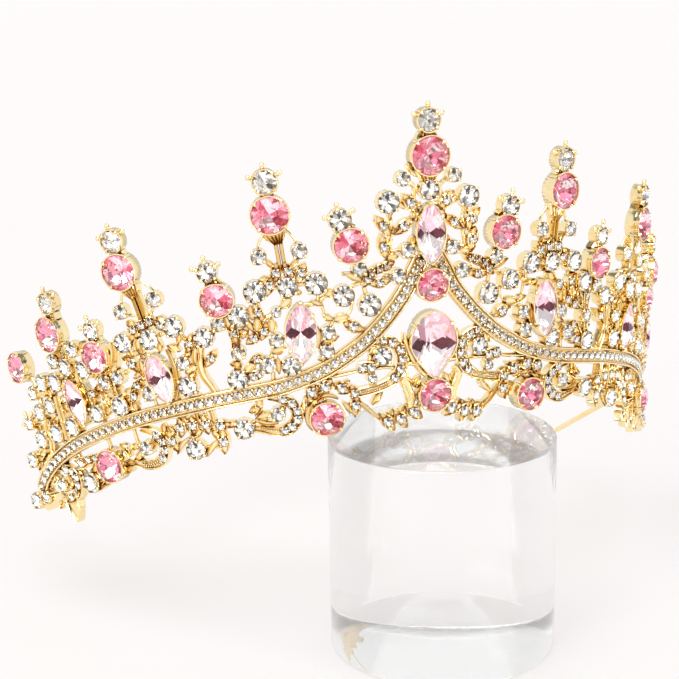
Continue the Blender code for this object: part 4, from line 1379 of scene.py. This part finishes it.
STEMS = (
    # width, then places of along and up
    # the middle spire's arms
    (1.3, ((1.6, 51.6), (2.6, 53.2), (4.5, 54.6))),
    (1.4, ((0.6, 55.2), (2.2, 55.6), (3.6, 57.8))),
    (1.3, ((2.2, 53.4), (2.6, 50.0), (2.4, 47.4))),
    (1.5, ((1.2, 49.0), (4.0, 48.6), (6.0, 50.2))),
    (1.1, ((7.5, 49.0), (6.9, 45.5), (7.1, 42.0), (8.0, 37.0))),
    (1.6, ((2.8, 46.2), (5.0, 45.0), (7.2, 42.8))),
    (1.4, ((7.2, 42.6), (8.0, 45.2), (10.0, 46.8))),
    (1.6, ((7.5, 38.4), (8.6, 40.5), (8.9, 42.8))),
    (1.1, ((2.4, 40.2), (7.2, 39.2))),
    (1.1, ((3.4, 34.4), (6.2, 33.8), (9.0, 34.4))),
    (1.4, ((7.7, 37.4), (9.6, 35.4), (12.6, 34.4))),
    (1.2, ((12.0, 33.4), (14.6, 33.0), (17.0, 31.2))),
    (1.2, ((13.4, 33.4), (14.2, 35.2), (16.8, 35.8))),
    (1.2, ((12.9, 32.6), (12.2, 28.4))),
    # first spire
    (1.2, ((15.0, 39.2), (13.4, 36.5), (13.0, 33.0))),
    (0.9, ((15.5, 29.5), (15.7, 27.8), (17.2, 26.2), (19.0, 25.6), (20.6, 26.6), (21.1, 29.0), (21.4, 31.0))),
    (1.5, ((17.8, 26.0), (15.8, 24.2), (12.6, 22.6))),
    (1.1, ((19.4, 26.0), (20.8, 23.7), (23.6, 23.4))),
    (1.2, ((21.0, 24.0), (21.4, 16.4))),
    (1.4, ((17.0, 31.4), (19.5, 31.8), (22.0, 30.4), (25.4, 30.2))),
    # second spire
    (0.8, ((29.2, 47.2), (30.8, 45.2), (31.3, 42.3), (29.6, 40.0), (28.2, 38.8))),
    (0.8, ((26.0, 47.2), (24.6, 45.0), (24.0, 42.2), (25.0, 40.0), (26.2, 38.8))),
    (1.5, ((23.4, 36.6), (26.5, 38.3), (28.8, 38.3), (30.6, 35.6))),
    (1.2, ((21.8, 34.7), (27.1, 34.9), (33.2, 35.0))),
    (1.0, ((21.6, 34.0), (21.8, 30.8))),
    (1.4, ((27.6, 31.6), (30.0, 29.8), (33.0, 28.4))),
    (1.2, ((29.0, 24.0), (31.4, 22.6), (33.0, 15.0))),
    (1.3, ((33.4, 19.2), (35.3, 20.2), (36.8, 19.0), (38.6, 16.4))),
    (1.2, ((34.0, 17.6), (36.7, 16.8), (38.6, 15.6))),
    # third spire
    (1.5, ((33.2, 34.6), (33.2, 30.4), (33.0, 26.4), (35.6, 25.2))),
    (1.2, ((33.4, 30.8), (38.0, 29.0), (44.3, 27.8))),
    (1.4, ((46.2, 25.2), (47.4, 26.7), (49.2, 29.4))),
    (1.4, ((46.3, 20.8), (49.6, 21.6), (52.4, 22.2))),
    # fourth spire
    (0.8, ((56.6, 42.2), (58.2, 40.0), (58.7, 37.0), (55.8, 34.4))),
    (0.8, ((53.4, 42.2), (51.8, 40.2), (51.5, 37.8), (53.6, 34.4))),
    (1.4, ((51.0, 31.6), (53.8, 33.4), (55.6, 33.2), (58.0, 31.6))),
    (1.2, ((49.4, 30.6), (54.9, 29.6), (60.5, 30.3))),
    (1.2, ((50.0, 18.6), (50.0, 14.2))),
    (1.4, ((56.8, 25.4), (60.4, 25.2), (60.9, 29.0))),
    (1.4, ((57.0, 22.0), (60.8, 20.6), (62.4, 18.3), (63.8, 14.2))),
    (1.0, ((58.5, 18.6), (58.5, 14.2))),
    (1.3, ((60.4, 24.8), (64.5, 23.3), (68.0, 22.8), (72.6, 21.6), (75.4, 21.3))),
    # sixth spire
    (1.4, ((77.8, 34.0), (77.8, 30.0))),
    (1.1, ((73.7, 32.4), (77.6, 33.4), (81.3, 31.5))),
    (1.3, ((72.5, 27.2), (77.8, 29.2), (83.3, 26.9))),
    (1.2, ((73.0, 21.6), (73.2, 13.6))),
    (1.4, ((79.8, 22.2), (82.0, 22.6), (88.0, 22.3), (98.6, 20.6))),
    (1.3, ((83.3, 26.9), (82.8, 20.0), (82.5, 13.0))),
    # the end above the band
    (1.3, ((83.3, 26.9), (88.6, 28.0), (93.4, 26.6))),
    (1.6, ((94.6, 31.2), (93.4, 26.0), (93.6, 18.0), (95.5, 10.0))),
    (1.3, ((88.3, 27.4), (88.2, 20.0), (88.8, 12.0))),
    (1.3, ((95.4, 15.8), (101.4, 12.0), (101.2, 6.0))),
    # below the middle of the arch
    (1.4, ((16.9, 9.2), (19.5, 10.9), (22.8, 11.8), (26.0, 11.5))),
    (1.1, ((9.6, 20.4), (13.6, 20.6))),
    (1.2, ((12.8, 20.4), (13.0, 9.8))),
    (1.5, ((12.9, 14.6), (14.9, 15.0))),
    (1.5, ((17.0, 9.8), (16.6, 7.0), (17.3, 4.8))),
    (1.1, ((23.2, 8.8), (23.0, 14.4))),
    (1.2, ((26.2, 11.4), (27.9, 8.0), (27.4, 4.6))),
    (0.9, ((11.4, 2.6), (14.8, 5.2), (16.8, 8.6))),
    (1.5, ((2.8, 4.6), (4.4, 3.2), (7.5, 2.2), (10.8, 2.2))),
    (1.2, ((3.2, 8.8), (5.4, 10.8), (7.8, 11.4))),
    # first crescent
    (1.2, ((33.2, 3.4), (37.0, 3.8), (40.9, 5.7))),
    (1.2, ((33.3, 7.6), (36.0, 7.4), (39.4, 6.4))),
    (1.1, ((36.6, 7.4), (37.6, 12.4))),
    # the leaves between the crescents
    (1.5, ((40.9, 5.7), (45.0, 7.4), (48.8, 8.5), (54.6, 8.9), (59.4, 5.8))),
    (1.1, ((48.6, 8.4), (48.4, 12.4))),
    (1.1, ((54.6, 8.8), (54.9, 12.4))),
    (1.4, ((45.8, 7.2), (46.4, 3.6), (52.3, 3.2))),
    (1.2, ((52.3, 3.4), (53.0, 8.6))),
    # second crescent
    (1.2, ((63.3, 2.5), (67.6, 3.8), (71.0, 4.6))),
    (1.2, ((63.6, 6.4), (68.0, 4.6))),
    (1.1, ((66.4, 6.0), (66.0, 12.2))),
    (1.2, ((62.8, 9.8), (63.0, 12.4))),
    (1.2, ((74.2, 8.8), (74.2, 12.0))),
    (1.5, ((77.2, 6.6), (80.0, 7.6), (84.4, 7.6), (86.0, 11.0))),
    (1.3, ((78.0, 4.0), (82.7, 2.5), (87.4, 3.4))),
    # end crescent and its foot
    (1.6, ((92.4, 0.5), (97.0, 2.1), (104.0, 2.6))),
    (1.2, ((92.7, 4.0), (98.0, 6.8))),
    (1.2, ((92.9, 7.6), (93.2, 9.8))),
    (1.2, ((103.6, 3.0), (101.8, 5.2))),
)
STEM_LEVEL = -0.45
STEM_SLIM = 0.84
stem_rows = []
for width, line in STEMS:
    places = [(along, up, STEM_LEVEL, STEM_SLIM * width / 2) for along, up in line]
    stem_rows += [(1, places), (-1, places)]
tubes("stems", stem_rows, sides=2, steps=5)


# A plain round wire, gold plated like the rest, is soldered behind each end of the band.
# It runs back and a little inward, and a comb or a ribbon holds on to it.

WIRE_WIDTH = 1.5
WIRE_SIDES = 20
WIRE_FROM = (100.6, 11.6, 0.0)
WIRE_END = (72.5, 91.3, 8.0)
shape = bmesh.new()
for half in (1, -1):
    start = bent((half * WIRE_FROM[0], *WIRE_FROM[1:]))
    end = seated((half * WIRE_END[0], *WIRE_END[1:]))
    way = end - start
    bmesh.ops.create_cone(
        shape,
        cap_ends=True,
        segments=WIRE_SIDES,
        radius1=WIRE_WIDTH / 2 * MM,
        radius2=WIRE_WIDTH / 2 * MM,
        depth=way.length,
        matrix=Matrix.Translation((start + end) / 2) @ way.to_track_quat("Z", "Y").to_matrix().to_4x4(),
    )
new_piece("end_wires", shape, [gold], "gold_plate", WIRE_CREASE)


# The studio is a plain pale floor in a pale room, which is darker at middle height so that the
# plate and the stones have something to mirror. One broad light stands above, and a small one on
# each side.

FLOOR_DROP = 0.05 * MM
FLOOR_REACH = 8.0
floor_look, _, _, _ = new_material(
    "pale floor",
    Roughness=0.55,
    Base_Color=(0.24, 0.235, 0.235, 1),
    Emission_Color=(1.0, 0.965, 0.955, 1),
    Emission_Strength=0.56,
)
shape = bmesh.new()
bmesh.ops.create_grid(shape, x_segments=1, y_segments=1, size=FLOOR_REACH)
bmesh.ops.translate(shape, verts=shape.verts, vec=(0, 0, -FLOOR_DROP))
mesh = bpy.data.meshes.new("floor")
shape.to_mesh(mesh)
shape.free()
mesh.materials.append(floor_look)
floor = bpy.data.objects.new("floor", mesh)
bpy.context.scene.collection.objects.link(floor)

world = bpy.data.worlds.new("studio")
bpy.context.scene.world = world
world.use_nodes = True
nodes = world.node_tree.nodes
links = world.node_tree.links
direction = nodes.new("ShaderNodeTexCoord")
height = nodes.new("ShaderNodeSeparateXYZ")
links.new(direction.outputs["Generated"], height.inputs["Vector"])
FAR_FROM = -0.1
FAR_TO = 0.3
ROOM_SIDES = (
    # how bright the room is at each height of the direction, on the near side and on the far side
    ((0.0, 0.95), (0.42, 0.92), (0.5, 0.14), (0.72, 0.12), (0.82, 1.3), (1.0, 1.6)),
    ((0.0, 0.95), (0.64, 0.93), (0.71, 0.25), (0.88, 0.22), (0.95, 1.2), (1.0, 1.6)),
)
sides = nodes.new("ShaderNodeMix")
sides.data_type = "RGBA"
for side, stops in zip("AB", ROOM_SIDES):
    room = colour_ramp(nodes, [(rise, (grey, grey, grey)) for rise, grey in stops])
    links.new(height.outputs["Z"], room.inputs["Fac"])
    links.new(room.outputs["Color"], sides.inputs[side])
far = nodes.new("ShaderNodeMapRange")
far.inputs["From Min"].default_value = FAR_FROM
far.inputs["From Max"].default_value = FAR_TO
links.new(height.outputs["Y"], far.inputs["Value"])
links.new(far.outputs["Result"], sides.inputs["Factor"])
links.new(sides.outputs["Result"], nodes["Background"].inputs["Color"])

OVERHEAD_STRENGTH = 2.1
OVERHEAD_SPREAD = radians(50)
OVERHEAD_TILT = (radians(12), radians(-14), 0)
overhead_lamp = bpy.data.lights.new("overhead", "SUN")
overhead_lamp.energy = OVERHEAD_STRENGTH
overhead_lamp.angle = OVERHEAD_SPREAD
overhead = bpy.data.objects.new("overhead", overhead_lamp)
overhead.rotation_euler = OVERHEAD_TILT
bpy.context.scene.collection.objects.link(overhead)

LIGHTS_AIM = Vector((0, 0, 0.06))
LIGHTS = (
    # name, place, size, watts
    ("left", (-0.9, -0.7, 0.55), 0.3, 5.0),
    ("right", (0.7, -0.9, 0.6), 0.2, 3.5),
)
for name, place, size, watts in LIGHTS:
    lamp = bpy.data.lights.new(name, "AREA")
    lamp.shape = "SQUARE"
    lamp.size = size
    lamp.energy = watts
    light = bpy.data.objects.new(name, lamp)
    light.location = place
    light.rotation_euler = (LIGHTS_AIM - Vector(place)).to_track_quat("-Z", "Y").to_euler()
    bpy.context.scene.collection.objects.link(light)

CAMERA_PLACE = Vector((-134.6, -324.9, 166.8)) * MM
CAMERA_TURN = radians(18.92)
CAMERA_PITCH = radians(15.4)
CAMERA_ROLL = radians(-1.02)
FOCAL_PIXELS = 1693.0
PICTURE = 679.0
SENSOR = 36.0
lens = bpy.data.cameras.new("camera")
lens.sensor_width = SENSOR
lens.lens = FOCAL_PIXELS / PICTURE * SENSOR
camera = bpy.data.objects.new("camera", lens)
camera.rotation_euler = (
    Matrix.Rotation(-CAMERA_TURN, 4, "Z")
    @ Matrix.Rotation(pi / 2 - CAMERA_PITCH, 4, "X")
    @ Matrix.Rotation(CAMERA_ROLL, 4, "Z")
).to_euler()
camera.location = CAMERA_PLACE
bpy.context.scene.collection.objects.link(camera)
bpy.context.scene.camera = camera
bpy.context.scene.view_settings.view_transform = "Standard"
